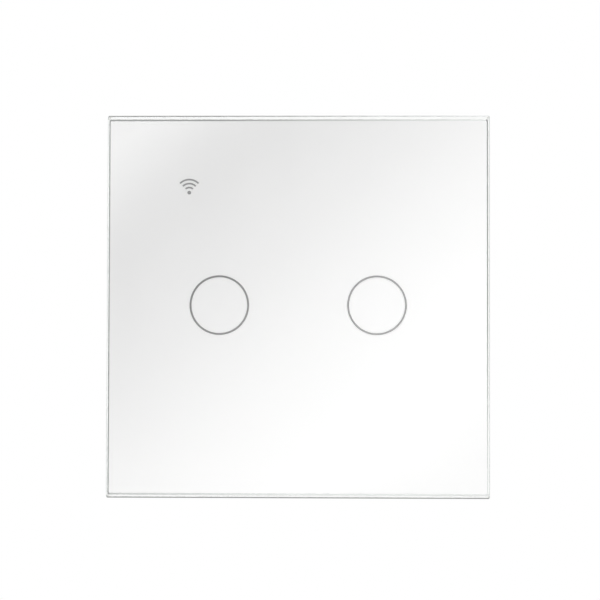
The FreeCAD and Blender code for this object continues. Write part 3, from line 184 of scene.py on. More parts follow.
def show(material, shader):
    """Leads a shader to the output of its material."""
    output = material.node_tree.nodes["Material Output"]
    material.node_tree.links.new(shader.outputs[0], output.inputs["Surface"])


def two_toned(material, share, darker, base, sockets):
    """A surface in two near tones, mixed by a share, with its other sockets as given."""
    tone = add(material, "ShaderNodeMix", {
        "Factor": share, colour_a: colour(darker), colour_b: colour(base)}, data_type="RGBA")
    return add(material, "ShaderNodeBsdfPrincipled", {
        "Base Color": tone.outputs[mixed], **sockets})


def dress(material, *nodes):
    """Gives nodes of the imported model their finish."""
    for name in nodes:
        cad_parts[name].data.materials.clear()
        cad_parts[name].data.materials.append(material)


# %% [markdown]
# Most of the pieces that a hand can reach are injection moulded. The steel of the mould is
# spark-eroded, which leaves a fine grain of about a tenth of a millimetre, and the plastic is a
# little uneven in tone where it flowed and cooled. A moulding has no truly sharp edge either, so
# the shader rounds the edges by a fifth of a millimetre in the way that they catch the light.

# %% Moulded plastics
def moulded(name, base, darker, grain, roughness, edge=0.2):
    """Moulded plastic: two near tones, a spark-eroded grain and rounded edges, sizes in mm."""
    material = new_material(name)
    place = add(material, "ShaderNodeTexCoord").outputs["Object"]
    cloud = add(material, "ShaderNodeTexNoise", {
        "Vector": place, "Scale": 1 / (9 * mm), "Detail": 3.0})
    speck = add(material, "ShaderNodeTexNoise", {
        "Vector": place, "Scale": 1 / (grain * mm), "Detail": 2.0})
    gloss = add(material, "ShaderNodeMapRange", {
        "Value": speck.outputs["Fac"], "To Min": roughness - 0.06, "To Max": roughness + 0.08})
    soft = add(material, "ShaderNodeBevel", {"Radius": edge * mm}, samples=4)
    bump = add(material, "ShaderNodeBump", {
        "Height": speck.outputs["Fac"], "Strength": 0.18, "Distance": 0.03 * mm,
        "Normal": soft.outputs["Normal"]})
    show(material, two_toned(material, cloud.outputs["Fac"], darker, base, {
        "Roughness": gloss.outputs["Result"], "IOR": 1.53, "Normal": bump.outputs["Normal"]}))
    return material


white_abs = moulded("white_moulded_abs", "f1f1ee", "ecebe7", 0.14, 0.42)
housing_pc = moulded("grey_white_moulded_polycarbonate", "dfddd6", "d6d4cc", 0.2, 0.5)
block_nylon = moulded("green_moulded_nylon", "2c7a48", "256b3f", 0.18, 0.48)
black_nylon = moulded("black_glass_filled_nylon", "1b1b1c", "141415", 0.16, 0.55, edge=0.1)
relay_pbt = moulded("blue_moulded_polyester", "1d4f9c", "19458a", 0.2, 0.4)
print("moulded finishes:", white_abs.name, housing_pc.name, block_nylon.name)

# %% [markdown]
# The metals are sheet, wire and turned parts. What tells them apart is the direction of the
# marks from rolling, drawing or turning, and how bright the plating is. Each gets long thin
# noise along its marks for the roughness, and a slow, faint stain in its colour.

# %% Plated and rolled metals
def plated(name, base, stain, marks, roughness, along=(1, 14, 14), patch=6.0):
    """Metal with marks of a width in mm that run where the scale along an axis is small."""
    material = new_material(name)
    place = add(material, "ShaderNodeTexCoord").outputs["Object"]
    turned = add(material, "ShaderNodeMapping", {"Vector": place, "Scale": along})
    lines = add(material, "ShaderNodeTexNoise", {
        "Vector": turned.outputs["Vector"], "Detail": 4.0, "Scale": 1 / (marks * max(along) * mm)})
    cloud = add(material, "ShaderNodeTexNoise", {
        "Vector": place, "Scale": 1 / (patch * mm), "Detail": 4.0})
    gloss = add(material, "ShaderNodeMapRange", {
        "Value": lines.outputs["Fac"], "To Min": roughness - 0.08, "To Max": roughness + 0.12})
    bump = add(material, "ShaderNodeBump", {
        "Height": lines.outputs["Fac"], "Strength": 0.12, "Distance": 0.02 * mm})
    show(material, two_toned(material, cloud.outputs["Fac"], stain, base, {
        "Metallic": 1.0, "Roughness": gloss.outputs["Result"], "Normal": bump.outputs["Normal"]}))
    return material


zinc_sheet = plated("zinc_plated_steel_sheet", "d3d6d8", "b9bdc0", 0.25, 0.34, patch=4.0)
can_steel = plated("tinned_steel_can", "dcdcd8", "cfcfc9", 0.15, 0.26)
screw_zinc = plated("zinc_plated_screw_steel", "c9cbcd", "aeb1b4", 0.12, 0.3, along=(14, 1, 14),
                    patch=1.5)
cage_nickel = plated("nickel_plated_cage_steel", "cfcbc0", "bab6aa", 0.18, 0.32, patch=2.0)
tin_brass = plated("tinned_brass_bar", "d8d1b8", "c6b98c", 0.16, 0.3, patch=2.0)
magnet_iron = plated("nickel_plated_soft_iron", "bdbcb8", "a9a8a4", 0.2, 0.36, patch=2.5)
spring_steel = plated("drawn_stainless_wire", "d0cec8", "bebcb6", 0.08, 0.24, patch=1.0)
print("metal finishes:", zinc_sheet.name, can_steel.name, screw_zinc.name)

# %% [markdown]
# The glass is clear float glass, toughened and polished. It is colourless from the front and
# slightly green where one looks into its edge. Light has to reach the white ink behind it, and a
# path tracer finds a lamp through glass only by luck, so the glass counts as clear for shadow
# rays and for the light that the ink scatters back out. Where ink wets the glass nothing is
# mirrored or bent, so the rear face has an index of one.

# %% Clear toughened glass
glass_index = 1.52


def let_light_in(material, surface):
    """Shows the surface, but counts as clear for lamps and for light scattered back out."""
    clear = add(material, "ShaderNodeBsdfTransparent", {"Color": colour("fafafa")})
    path = add(material, "ShaderNodeLightPath")
    scattered = add(material, "ShaderNodeMixShader", {
        0: path.outputs["Is Diffuse Ray"], 1: surface.outputs["BSDF"], 2: clear.outputs["BSDF"]})
    chosen = add(material, "ShaderNodeMixShader", {
        0: path.outputs["Is Shadow Ray"], 1: scattered.outputs["Shader"],
        2: clear.outputs["BSDF"]})
    show(material, chosen)


def clear_glass(name, tint, streak, index=glass_index):
    """Glass of two near tones, in faint streaks of a few millimetres as the float leaves them."""
    material = new_material(name)
    place = add(material, "ShaderNodeTexCoord").outputs["Object"]
    drawn = add(material, "ShaderNodeMapping", {"Vector": place, "Scale": (1, 1, 0.2)})
    haze = add(material, "ShaderNodeTexNoise", {
        "Vector": drawn.outputs["Vector"], "Detail": 4.0, "Scale": 1 / (7 * mm)})
    let_light_in(material, two_toned(material, haze.outputs["Fac"], streak, tint, {
        "Roughness": 0.0, "IOR": index, "Transmission Weight": 1.0}))
    return material


face_glass = clear_glass("clear_toughened_glass", "ffffff", "fcfcfc")
edge_glass = clear_glass("ground_glass_edge", "f8faf9", "f0f3f1")
inked_glass = clear_glass("glass_wetted_by_ink", "ffffff", "fcfcfc", index=1.0)
print("glass:", face_glass.name, edge_glass.name, inked_glass.name)

# %% [markdown]
# The hair-fine rims of the bevel are left as the wheel ground them. They scatter the light like
# frosted glass, so they read as thin grey lines that frame the panel. A painted highlight makes
# the upper and lower rims paler to the right, and the right one paler downwards.

# %% Frosted rims
def frosted(name, base, darker, painted_highlight=None):
    """Glass as the wheel left it. A painted highlight may turn it paler along an axis, from one
    place to another.
    """
    material = new_material(name)
    place = add(material, "ShaderNodeTexCoord").outputs["Object"]
    grit = add(material, "ShaderNodeTexNoise", {
        "Vector": place, "Scale": 1 / (0.3 * mm), "Detail": 1.0})
    tone = add(material, "ShaderNodeMix", {
        "Factor": grit.outputs["Fac"], colour_a: colour(darker), colour_b: colour(base)},
        data_type="RGBA")
    # Painted highlight: the tone turns to a pale grey from one place to the other along the axis.
    if painted_highlight:
        axis, dull, pale = painted_highlight
        axes = add(material, "ShaderNodeSeparateXYZ", {0: place})
        share = add(material, "ShaderNodeMapRange", {
            "Value": axes.outputs[axis], "From Min": dull * mm, "From Max": pale * mm})
        tone = add(material, "ShaderNodeMix", {
            "Factor": share.outputs["Result"], colour_a: tone.outputs[mixed],
            colour_b: colour("eaeceb")}, data_type="RGBA")
    bump = add(material, "ShaderNodeBump", {
        "Height": grit.outputs["Fac"], "Strength": 0.2, "Distance": 0.01 * mm})
    surface = add(material, "ShaderNodeBsdfPrincipled", {
        "Base Color": tone.outputs[mixed], "Roughness": 0.55, "IOR": glass_index,
        "Normal": bump.outputs["Normal"]})
    let_light_in(material, surface)
    return material


rim_greys = ("a0a2a1", "969897")
frosted_rim = frosted("frosted_glass_rim", *rim_greys)
# The upper, right and lower rims get a painted highlight, paler towards the lower right.
upper_rim = frosted("frosted_upper_rim", *rim_greys, painted_highlight=("X", -18, 44))
right_rim = frosted("frosted_right_rim", *rim_greys, painted_highlight=("Z", 0, -44))
lower_rim = frosted("frosted_lower_rim", *rim_greys, painted_highlight=("X", -82, -4))
satin_edge = frosted("satin_glass_edge", "d3d9d6", "c8cecb")
print("frosted:", frosted_rim.name, upper_rim.name, right_rim.name, lower_rim.name)

# %% [markdown]
# Two inks lie behind the glass. The white one is screen printed in two coats, so it is smooth
# and close to pure white, with a weave left by the screen that is almost too fine to see. The
# grey one lets a lamp shine through, and is paler in the small sign. Ink that clings to glass
# has no gloss of its own: the glass in front of it does the mirroring.

# %% Inks on the back of the glass
def screen_ink(name, base, darker, weave):
    """Screen-printed ink with a grain of a size in mm, drawn coarse enough to show."""
    material = new_material(name)
    place = add(material, "ShaderNodeTexCoord").outputs["Object"]
    grain = add(material, "ShaderNodeTexNoise", {
        "Vector": place, "Scale": 1 / (weave * mm), "Detail": 1.0})
    cloud = add(material, "ShaderNodeTexNoise", {
        "Vector": place, "Scale": 1 / (25 * mm), "Detail": 2.0})
    share = add(material, "ShaderNodeMix", {
        "Factor": 0.6, "A": grain.outputs["Fac"], "B": cloud.outputs["Fac"]}, data_type="FLOAT")
    show(material, two_toned(material, share.outputs[0], darker, base, {
        "Roughness": 0.6, "IOR": 1.48, "Specular IOR Level": 0.0}))
    return material


white_ink = screen_ink("white_screen_ink", "f7f7f7", "f5f5f5", 0.3)
grey_ink = screen_ink("grey_see_through_ink", "858585", "7f7f7f", 0.25)
sign_ink = screen_ink("pale_grey_ink", "a2a2a2", "9c9c9c", 0.25)
print("inks:", white_ink.name, grey_ink.name, sign_ink.name)

# %% [markdown]
# Foams, tapes and resins have no marks from tools. Foam is a crowd of open cells, tape is a film
# over a soft core, and a dipped or cast resin is glossy and a little wavy. A cell pattern or a
# slow noise makes each, at the size of the real cells and waves.

# %% Foams and resins
def celled(name, base, darker, cell, roughness):
    """Open-celled foam with cells of a size in mm."""
    material = new_material(name)
    place = add(material, "ShaderNodeTexCoord").outputs["Object"]
    cells = add(material, "ShaderNodeTexVoronoi", {"Vector": place, "Scale": 1 / (cell * mm)})
    bump = add(material, "ShaderNodeBump", {
        "Height": cells.outputs["Distance"], "Strength": 0.5, "Distance": 0.08 * mm})
    show(material, two_toned(material, cells.outputs["Distance"], darker, base, {
        "Roughness": roughness, "IOR": 1.45, "Normal": bump.outputs["Normal"]}))
    return material


def cast(name, base, darker, wave, roughness, coat=0.0):
    """Cast, dipped or ground surface with slow waves of a size in mm and fine specks."""
    material = new_material(name)
    place = add(material, "ShaderNodeTexCoord").outputs["Object"]
    slow = add(material, "ShaderNodeTexNoise", {
        "Vector": place, "Scale": 1 / (wave * mm), "Detail": 2.0})
    fine = add(material, "ShaderNodeTexNoise", {
        "Vector": place, "Scale": 1 / (0.15 * mm), "Detail": 2.0})
    bump = add(material, "ShaderNodeBump", {
        "Height": slow.outputs["Fac"], "Strength": 0.3, "Distance": 0.06 * mm})
    show(material, two_toned(material, fine.outputs["Fac"], darker, base, {
        "Roughness": roughness, "IOR": 1.55, "Coat Weight": coat,
        "Normal": bump.outputs["Normal"]}))
    return material


tape_foam = celled("white_acrylic_foam_tape", "eeeeea", "dcdcd6", 0.25, 0.8)
black_foam = celled("black_open_cell_foam", "202021", "0c0c0d", 0.35, 0.95)
epoxy_black = cast("black_moulded_epoxy", "232325", "18181a", 0.8, 0.5)
ferrite = cast("ground_ferrite", "3a3a3c", "29292b", 0.6, 0.62)
varistor_blue = cast("blue_dipped_epoxy", "214f9e", "1c458c", 1.2, 0.25, coat=0.5)
cement_green = cast("green_resistor_cement", "3f7d6c", "356b5c", 0.7, 0.6)
lamp_resin = cast("clear_lamp_resin", "f3edcf", "eadfae", 0.5, 0.2, coat=0.6)
print("foams and resins:", black_foam.name, epoxy_black.name, ferrite.name)

# %% [markdown]
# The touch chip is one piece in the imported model, with a moulded case and two rows of tinned
# leads. The leads are what lies further from its middle than half the width of the case.

# %% The touch chip
chip_low, chip_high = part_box("touch_controller")
case_half = 1.97 * mm
chip_finish = new_material("black_case_with_tinned_leads")
place = add(chip_finish, "ShaderNodeTexCoord").outputs["Object"]
axes = add(chip_finish, "ShaderNodeSeparateXYZ", {0: place})
off = add(chip_finish, "ShaderNodeMath", {
    0: axes.outputs["Z"], 1: (chip_low.z + chip_high.z) / 2}, operation="SUBTRACT")
off = add(chip_finish, "ShaderNodeMath", {0: off.outputs["Value"]}, operation="ABSOLUTE")
lead = add(chip_finish, "ShaderNodeMath", {
    0: off.outputs["Value"], 1: case_half}, operation="GREATER_THAN")
speck = add(chip_finish, "ShaderNodeTexNoise", {"Vector": place, "Scale": 1 / (0.15 * mm)})
case_tone = add(chip_finish, "ShaderNodeMix", {
    "Factor": speck.outputs["Fac"], colour_a: colour("18181a"), colour_b: colour("262628")},
    data_type="RGBA")
tone = add(chip_finish, "ShaderNodeMix", {
    "Factor": lead.outputs["Value"], colour_a: case_tone.outputs[mixed],
    colour_b: colour("c2c5c8")}, data_type="RGBA")
surface = add(chip_finish, "ShaderNodeBsdfPrincipled", {
    "Base Color": tone.outputs[mixed], "Metallic": lead.outputs["Value"], "Roughness": 0.45})
show(chip_finish, surface)
print("chip case in mm:", round(2 * case_half / mm, 2), "high between its rows of leads")

# %% [markdown]
# A circuit board is glass cloth in resin under a green or blue lacquer. Copper lies under the
# lacquer and shows through a little lighter, as fine tracks that turn at right angles and as
# wide grounds. The weave of the glass cloth, about a millimetre wide, shows as a faint check.

# %% Circuit boards
def lacquered_board(name, bare, copper, track, cloth=1.0):
    """Lacquered board: lighter grounds and tracks of copper over the weave of the cloth in mm."""
    material = new_material(name)
    place = add(material, "ShaderNodeTexCoord").outputs["Object"]
    turned = add(material, "ShaderNodeMapping", {"Vector": place, "Rotation": upright})
    flat = turned.outputs["Vector"]
    weave = add(material, "ShaderNodeTexChecker", {
        "Vector": flat, "Scale": 1 / (cloth * mm), "Color1": (1, 1, 1, 1),
        "Color2": (0.95, 0.95, 0.95, 1)})
    grounds = add(material, "ShaderNodeTexVoronoi", {
        "Vector": flat, "Scale": 1 / (14 * mm)}, distance="CHEBYCHEV")
    ground = add(material, "ShaderNodeMapRange", {
        "Value": grounds.outputs["Distance"], "From Min": 0.43, "From Max": 0.44})
    nets = add(material, "ShaderNodeTexVoronoi", {
        "Vector": flat, "Scale": 1 / (4.5 * mm)}, distance="CHEBYCHEV")
    rings = add(material, "ShaderNodeMath", {
        0: nets.outputs["Distance"], 1: 7.0}, operation="MULTIPLY")
    rings = add(material, "ShaderNodeMath", {0: rings.outputs["Value"]}, operation="FRACT")
    tracks = add(material, "ShaderNodeMapRange", {
        "Value": rings.outputs["Value"], "From Min": 0.66, "From Max": 0.7})
    base = add(material, "ShaderNodeMix", {
        "Factor": ground.outputs["Result"], colour_a: colour(copper), colour_b: colour(bare)},
        data_type="RGBA")
    shown = add(material, "ShaderNodeMath", {
        0: ground.outputs["Result"], 1: tracks.outputs["Result"]}, operation="MULTIPLY")
    traced = add(material, "ShaderNodeMix", {
        "Factor": shown.outputs["Value"], colour_a: base.outputs[mixed], colour_b: colour(track)},
        data_type="RGBA")
    woven = add(material, "ShaderNodeMix", {
        "Factor": 1.0, colour_a: traced.outputs[mixed], colour_b: weave.outputs["Color"]},
        data_type="RGBA", blend_type="MULTIPLY")
    bump = add(material, "ShaderNodeBump", {
        "Height": shown.outputs["Value"], "Strength": 0.4, "Distance": 0.03 * mm})
    surface = add(material, "ShaderNodeBsdfPrincipled", {
        "Base Color": woven.outputs[mixed], "Roughness": 0.4, "IOR": 1.55,
        "Normal": bump.outputs["Normal"]})
    show(material, surface)
    return material


green_board = lacquered_board("green_lacquered_board", "0f4a28", "145831", "1f6f42")
blue_board = lacquered_board("blue_lacquered_board", "0f2f5c", "143a6e", "1f4f8c")
print("boards:", green_board.name, blue_board.name)

# %% [markdown]
# Coils and sleeves are wound or shrunk round a piece. Enamelled copper lies in neat turns, so a
# wave across the axis gives their bump and painted shade in the troughs between them. The yellow
# film has the steps of its wraps, and a shrunk sleeve has faint bands round it.

# %% Wound copper, film and sleeves
def wound(name, base, darker, turn, roughness, metallic):
    """Turns of wire or film about the Y axis, with a pitch in mm."""
    material = new_material(name)
    place = add(material, "ShaderNodeTexCoord").outputs["Object"]
    turns = add(material, "ShaderNodeTexWave", {
        "Vector": place, "Scale": 0.314 / (turn * mm), "Distortion": 0.3, "Detail": 1.0},
        bands_direction="Y", wave_profile="SIN")
    bump = add(material, "ShaderNodeBump", {
        "Height": turns.outputs["Fac"], "Strength": 0.6, "Distance": 0.06 * mm})
    show(material, two_toned(material, turns.outputs["Fac"], darker, base, {
        "Metallic": metallic, "Roughness": roughness, "Normal": bump.outputs["Normal"]}))
    return material


# On the copper the darker tone in the troughs of the wave is painted shade between the turns.
copper_wire = wound("enamelled_copper_wire", "c8743a", "8f4a22", 0.3, 0.3, 1.0)
yellow_film = wound("yellow_polyester_film", "e3b021", "d39f17", 2.2, 0.28, 0.0)
black_sleeve = wound("black_shrunk_sleeve", "20212a", "1b1c24", 3.0, 0.3, 0.0)
print("wound finishes:", copper_wire.name, yellow_film.name, black_sleeve.name)

# %% Finishes for the nodes that keep their shape
sides = ("left", "right")
ways = range(1, 5)
dress(white_ink, "white_print")
dress(grey_ink, "touch_ring_left", "touch_ring_right")
dress(tape_foam, "adhesive_tape")
dress(white_abs, "panel_frame", "base_frame")
dress(zinc_sheet, "mounting_yoke")
dress(housing_pc, "rear_housing")
dress(green_board, "touch_board", "power_board")
dress(blue_board, "radio_board")
dress(black_foam, *[f"light_shield_{side}" for side in sides])
dress(lamp_resin, "status_led", *[f"touch_led_{side}" for side in sides])
dress(epoxy_black, "rectifier")
dress(chip_finish, "touch_controller")
dress(can_steel, "radio_shield")
dress(black_nylon, "board_header", "header_socket", "transformer_bobbin")
dress(block_nylon, "terminal_block")
dress(ferrite, "transformer_core")
dress(yellow_film, "transformer_winding")
dress(black_sleeve, "filter_capacitor", "output_capacitor")
dress(varistor_blue, "surge_varistor")
dress(cement_green, "fuse_resistor")
dress(screw_zinc, *[f"terminal_screw_{way}" for way in ways])
dress(tin_brass, *[f"contact_bar_{way}" for way in ways])
dress(cage_nickel, *[f"clamp_cage_{way}" for way in ways])
dress(relay_pbt, *[f"relay_{side}_case" for side in sides])
dress(black_nylon, *[f"relay_{side}_base" for side in sides])
dress(copper_wire, *[f"relay_{side}_coil" for side in sides])
dress(magnet_iron, *[f"relay_{side}_{iron}" for side in sides for iron in ("magnet", "armature")])
dress(tin_brass, *[f"relay_{side}_contact" for side in sides])
print("finishes so far:", len(bpy.data.materials))

# %% [markdown]
# The glass is what one sees first. It starts as a block of its full size. The four upright
# corners are rounded, a cut marks where the bevel starts, and the front face is then drawn in, so
# that the walls lean as the ground bevel does: wider at the top and bottom than at the sides.

# %% The slab and its rounded corners
low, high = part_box("glass_plate")
width, thickness, height = high.x - low.x, high.y - low.y, high.z - low.z
front = low.y
bevel_depth = 0.6 * mm
bevel_side = 0.5 * mm
bevel_top = 1.15 * mm
bevel_foot = 0.95 * mm
corner_radius = 0.42 * mm
let_go()
bpy.ops.mesh.primitive_cube_add(size=1, location=(0, front + thickness / 2, 0),
                                scale=(width, thickness, height))
glass = start("glass_panel")
corners = pick(glass, lambda e: abs(e.verts[0].co.y - e.verts[1].co.y) > thickness / 2, "EDGE")
bpy.ops.mesh.bevel(offset=corner_radius, segments=8, affect="EDGES")
print("glass", [round(v / mm, 2) for v in (width, thickness, height)], "mm, corners:", corners)

# %% The ground bevel
pick(glass, everything)
bpy.ops.mesh.bisect(plane_co=(0, front + bevel_depth, 0), plane_no=(0, 1, 0))
faces = pick(glass, lambda f: f.normal.y < -0.9)
both_levels = bevel_top + bevel_foot
still = height / 2 * (bevel_foot - bevel_top) / both_levels
bpy.ops.transform.resize(value=(1 - 2 * bevel_side / width, 1, 1 - both_levels / height),
                         center_override=(0, front, still))
print("front faces drawn in:", faces, "about the height", round(still / mm, 2), "mm")

# %% [markdown]
# No edge of ground glass is a line without width. Both rims of the bevel get a hair-fine second
# bevel, which draws the thin lines that frame the panel, and the rear rim is broken in one step.

# %% The fine rims of the bevel
def rim(piece, y, offset, segments):
    """Breaks the rim of the glass that lies at one depth."""
    count = pick(piece, lambda e: all(abs(v.co.y - y) < hair for v in e.verts), "EDGE")
    bpy.ops.mesh.bevel(offset=offset, segments=segments, affect="EDGES")
    return count


fine, wide = 0.2 * mm, 0.36 * mm
rear_rim = rim(glass, front + thickness, fine, 1)
outer_rim = rim(glass, front + bevel_depth, wide, 2)
front_rim = rim(glass, front, fine, 2)
print("edges in the rear, outer and front rim:", rear_rim, outer_rim, front_rim)

# %% A finish for each face of the glass
inner_to = 0.15 * mm
outer_from = 0.3 * mm
outer_to = bevel_depth + 0.45 * mm
glass_finishes = [face_glass, edge_glass, frosted_rim, satin_edge, inked_glass, upper_rim,
                  right_rim, lower_rim]


def is_flat(face):
    """Whether a face is the front or the back of the glass."""
    return abs(face.normal.y) > 0.999


def glass_finish(face):
    """The finish of one face, from how deep it lies and on which side of the panel."""
    if is_flat(face):
        return inked_glass if face.normal.y > 0 else face_glass
    depths = [glass.data.vertices[i].co.y - front for i in face.vertices]
    at_side = abs(face.center.x) > abs(face.center.z)
    inner = max(depths) < inner_to
    outer = min(depths) > outer_from and max(depths) < outer_to
    if at_side and inner:
        return right_rim if face.center.x > 0 else frosted_rim
    if not at_side and (inner or outer):
        if face.center.z > 0:
            return upper_rim
        return lower_rim if inner else frosted_rim
    return satin_edge if outer or max(depths) > outer_to else edge_glass


finish(glass, "front_panel", "clear_glass", *glass_finishes, smooth=12)
for face in glass.data.polygons:
    face.use_smooth = not is_flat(face)
    face.material_index = glass_finishes.index(glass_finish(face))
used = [face.material_index for face in glass.data.polygons]
print("faces in each finish:", [used.count(i) for i in range(len(glass_finishes))])
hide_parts("glass_plate")

# %% [markdown]
# In the upper left corner is the usual sign for a wireless link: a dot with three arcs over it.
# Each arc starts as a disc. Insetting the disc by the width of the stroke and deleting the middle
# leaves a ring, and two slanting cuts through the dot keep about a quarter of it. The ink lies
# between the glass and the white, as thick as the rings of the touch keys.

# %% The wireless sign
ring_low, ring_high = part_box("touch_ring_left")
ink_middle = (ring_low.y + ring_high.y) / 2
ink_thickness = ring_high.y - ring_low.y
sign_place = Vector((-24.65 * mm, ink_middle, 25.7 * mm))
sign_dot = 0.42 * mm
sign_arcs = (1.15, 2.05, 2.95)
stroke = 0.36 * mm
arc_half_angle = math.radians(90 - 44)


def flat_disc(name, radius, sides, place):
    """A flat disc that faces the room."""
    let_go()
    bpy.ops.mesh.primitive_circle_add(vertices=sides, radius=radius, fill_type="NGON",
                                      location=place, rotation=upright)
    return start(name)


def flat_ring(name, radius, stroke, sides, place):
    """A flat ring of an outer radius: a disc, inset by the stroke, without its middle."""
    ring = flat_disc(name, radius, sides, place)
    pick(ring, everything)
    bpy.ops.mesh.inset(thickness=stroke)
    pick(ring, lambda f: len(f.verts) > 4)
    bpy.ops.mesh.delete(type="FACE")
    return ring


def sign_arc(radius):
    """The part of a ring that lies above the dot of the sign, between two slanting cuts."""
    arc = flat_ring(f"arc_{radius}", radius * mm + stroke / 2, stroke, 96, sign_place)
    for side in (-1, 1):
        pick(arc, everything)
        bpy.ops.mesh.bisect(plane_co=sign_place, clear_outer=True,
                            plane_no=(side * math.sin(arc_half_angle), 0,
                                      -math.cos(arc_half_angle)))
    return arc


sign = joined([flat_disc("wireless_sign", sign_dot, 32, sign_place)]
              + [sign_arc(radius) for radius in sign_arcs])
apply_modifier(sign, "SOLIDIFY", thickness=ink_thickness, offset=0)
finish(sign, "front_panel", "grey_ink", sign_ink)

# %% [markdown]
# Behind each ring a coil of wire carries the touch from the board to the glass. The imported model
# has the same coil with a faceted wire. Here the wire is a round section, wound round the axis of
# the key by a Screw modifier, which is the usual way to make a spring or a thread.

# %% The touch springs
wire = 0.5 * mm
foot_gap = 0.1 * mm
two_turns = math.radians(720)
for side in sides:
    low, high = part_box(f"touch_spring_{side}")
    middle = (low + high) / 2
    coil_radius = (high.x - low.x - wire) / 2
    rise = high.y - low.y - wire - foot_gap
    let_go()
    bpy.ops.mesh.primitive_circle_add(vertices=14, radius=wire / 2, location=(coil_radius, 0, 0))
    spring = start(f"touch_coil_{side}")
    apply_modifier(spring, "SCREW", axis="Y", angle=two_turns, screw_offset=-rise, steps=96,
                   render_steps=96, use_merge_vertices=False)
    pick(spring, lambda e: e.is_boundary, "EDGE")
    bpy.ops.mesh.fill_holes(sides=20)
    let_go()
    foot = high.y - foot_gap - wire / 2
    spring.data.transform(Matrix.Translation((middle.x, foot, middle.z)))
    finish(spring, "wall_unit", "spring_wire", spring_steel, smooth=50)
    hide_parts(f"touch_spring_{side}")

# %% [markdown]
# Small screws and the parts on the boards are modelled once each and then copied to their
# places. A copy has its own mesh, so its place can go into the mesh as well. The places come
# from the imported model: from its screws, its boards and its terminal ways.

# %% Copies in their places
def copies(model, name, places, body):
    """Copies of a surfaced model, one at each place. The model itself goes away."""
    made = []
    for index, place in enumerate(places, 1):
        piece = model.copy()
        piece.data = model.data.copy()
        piece.name = f"{name}_{index}"
        bpy.context.scene.collection.objects.link(piece)
        piece.data.transform(Matrix.Translation(Vector(place)))
        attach(piece, body)
        made.append(piece)
    bpy.data.objects.remove(model)
    print(name, len(made), "copies of", len(made[0].data.polygons), "faces")
    return made


# %% [markdown]
# A pan-head screw is turned and then cold-headed: a low cylinder with a rounded rim, a shank
# drawn out of its back, and a cross-shaped recess pressed into the front. The recess is cut
# with a small cross whose arms are four faces of a cube drawn out and narrowed.

# %% A cross-head screw
def cross_head_screw(head, head_height, shank, length):
    """A screw whose head rests at the origin and points to the room."""
    let_go()
    bpy.ops.mesh.primitive_cylinder_add(vertices=28, radius=head / 2, depth=head_height,
                                        location=(0, -head_height / 2, 0), rotation=upright)
    screw = start("screw_model")
    pick(screw, lambda e: all(v.co.y < -head_height + hair for v in e.verts), "EDGE")
    bpy.ops.mesh.bevel(offset=head_height * 0.4, segments=4, affect="EDGES")
    pick(screw, lambda f: f.normal.y > 0.9)
    bpy.ops.mesh.inset(thickness=(head - shank) / 2)
    bpy.ops.mesh.extrude_region_move(TRANSFORM_OT_translate={"value": (0, length * 0.85, 0)})
    bpy.ops.mesh.extrude_region_move(TRANSFORM_OT_translate={"value": (0, length * 0.15, 0)})
    bpy.ops.transform.resize(value=(0.4, 1, 0.4), center_override=(0, length, 0))
    arm = head * 0.1
    let_go()
    bpy.ops.mesh.primitive_cube_add(size=2 * arm, location=(0, -head_height, 0))
    cross = start("recess_cutter")
    pick(cross, lambda f: abs(f.normal.y) < 0.5)
    bpy.ops.mesh.extrude_faces_move(TRANSFORM_OT_shrink_fatten={"value": head * 0.2})
    pick(cross, lambda f: f.normal.y > 0.9)
    bpy.ops.transform.resize(value=(0.6, 1, 0.6), center_override=(0, 0, 0))
    apply_modifier(screw, "BOOLEAN", operation="DIFFERENCE", solver="EXACT", object=cross)
    bpy.data.objects.remove(cross)
    return surfaced(screw, screw_zinc)


# Of each kind: width and height of its head, width of its shank, and length below the head.
screw_sizes = {"housing_screw": (4.2 * mm, 1.5 * mm, 2.2 * mm, 9.0 * mm),
               "board_screw": (3.4 * mm, 1.2 * mm, 1.8 * mm, 3.0 * mm)}
screw_corners = {"housing_screw": ((-1, -1), (1, -1), (-1, 1), (1, 1)),
                 "board_screw": ((-1, -1), (1, 1))}
for name, (head, head_height, shank, length) in screw_sizes.items():
    low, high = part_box(f"{name}s")
    across, up = high.x - head / 2, high.z - head / 2
    seat = low.y + head_height
    screw = cross_head_screw(head, head_height, shank, length)
    places = [(across * i, seat, up * j) for i, j in screw_corners[name]]
    for piece in copies(screw, name, places, "wall_unit"):
        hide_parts(f"{name}s")

# %% [markdown]
# The touch board carries the small chip parts that such a board needs: resistors and capacitors
# round the touch chip, one resistor for each lamp, and a round land under each touch spring. A
# chip part is a block cut in three. Its ends are a little thicker, because they are dipped in
# tin, and they get their own material.

# %% Chip parts
solder_tin = plated("bright_solder_tin", "c9ccd0", "b2b6bb", 0.1, 0.28, patch=1.5)
gold_land = plated("gold_plated_land", "d9b566", "c69f4c", 0.12, 0.25, patch=3.0)
resistor_black = cast("black_resistor_glaze", "1d1d20", "131315", 0.5, 0.3)
capacitor_tan = cast("tan_capacitor_ceramic", "a98a62", "96774f", 0.4, 0.45)


def chip_part(name, length, width, thickness, body_material):
    """A chip part that lies on the face at y = 0, towards the room."""
    let_go()
    bpy.ops.mesh.primitive_cube_add(size=1, location=(0, -thickness / 2, 0),
                                    scale=(length, thickness, width))
    part = start(name)
    end = length * 0.3
    for side in (-1, 1):
        pick(part, everything)
        bpy.ops.mesh.bisect(plane_co=(end * side, 0, 0), plane_no=(1, 0, 0))
    pick(part, lambda f: abs(f.normal.x) < 0.5 and abs(f.calc_center_median().x) < end)
    bpy.ops.mesh.inset(thickness=0.02 * mm, depth=-0.03 * mm)
    surfaced(part, body_material, solder_tin)
    for face in part.data.polygons:
        face.material_index = int(abs(face.center.x) > end - 0.01 * mm)
    return part


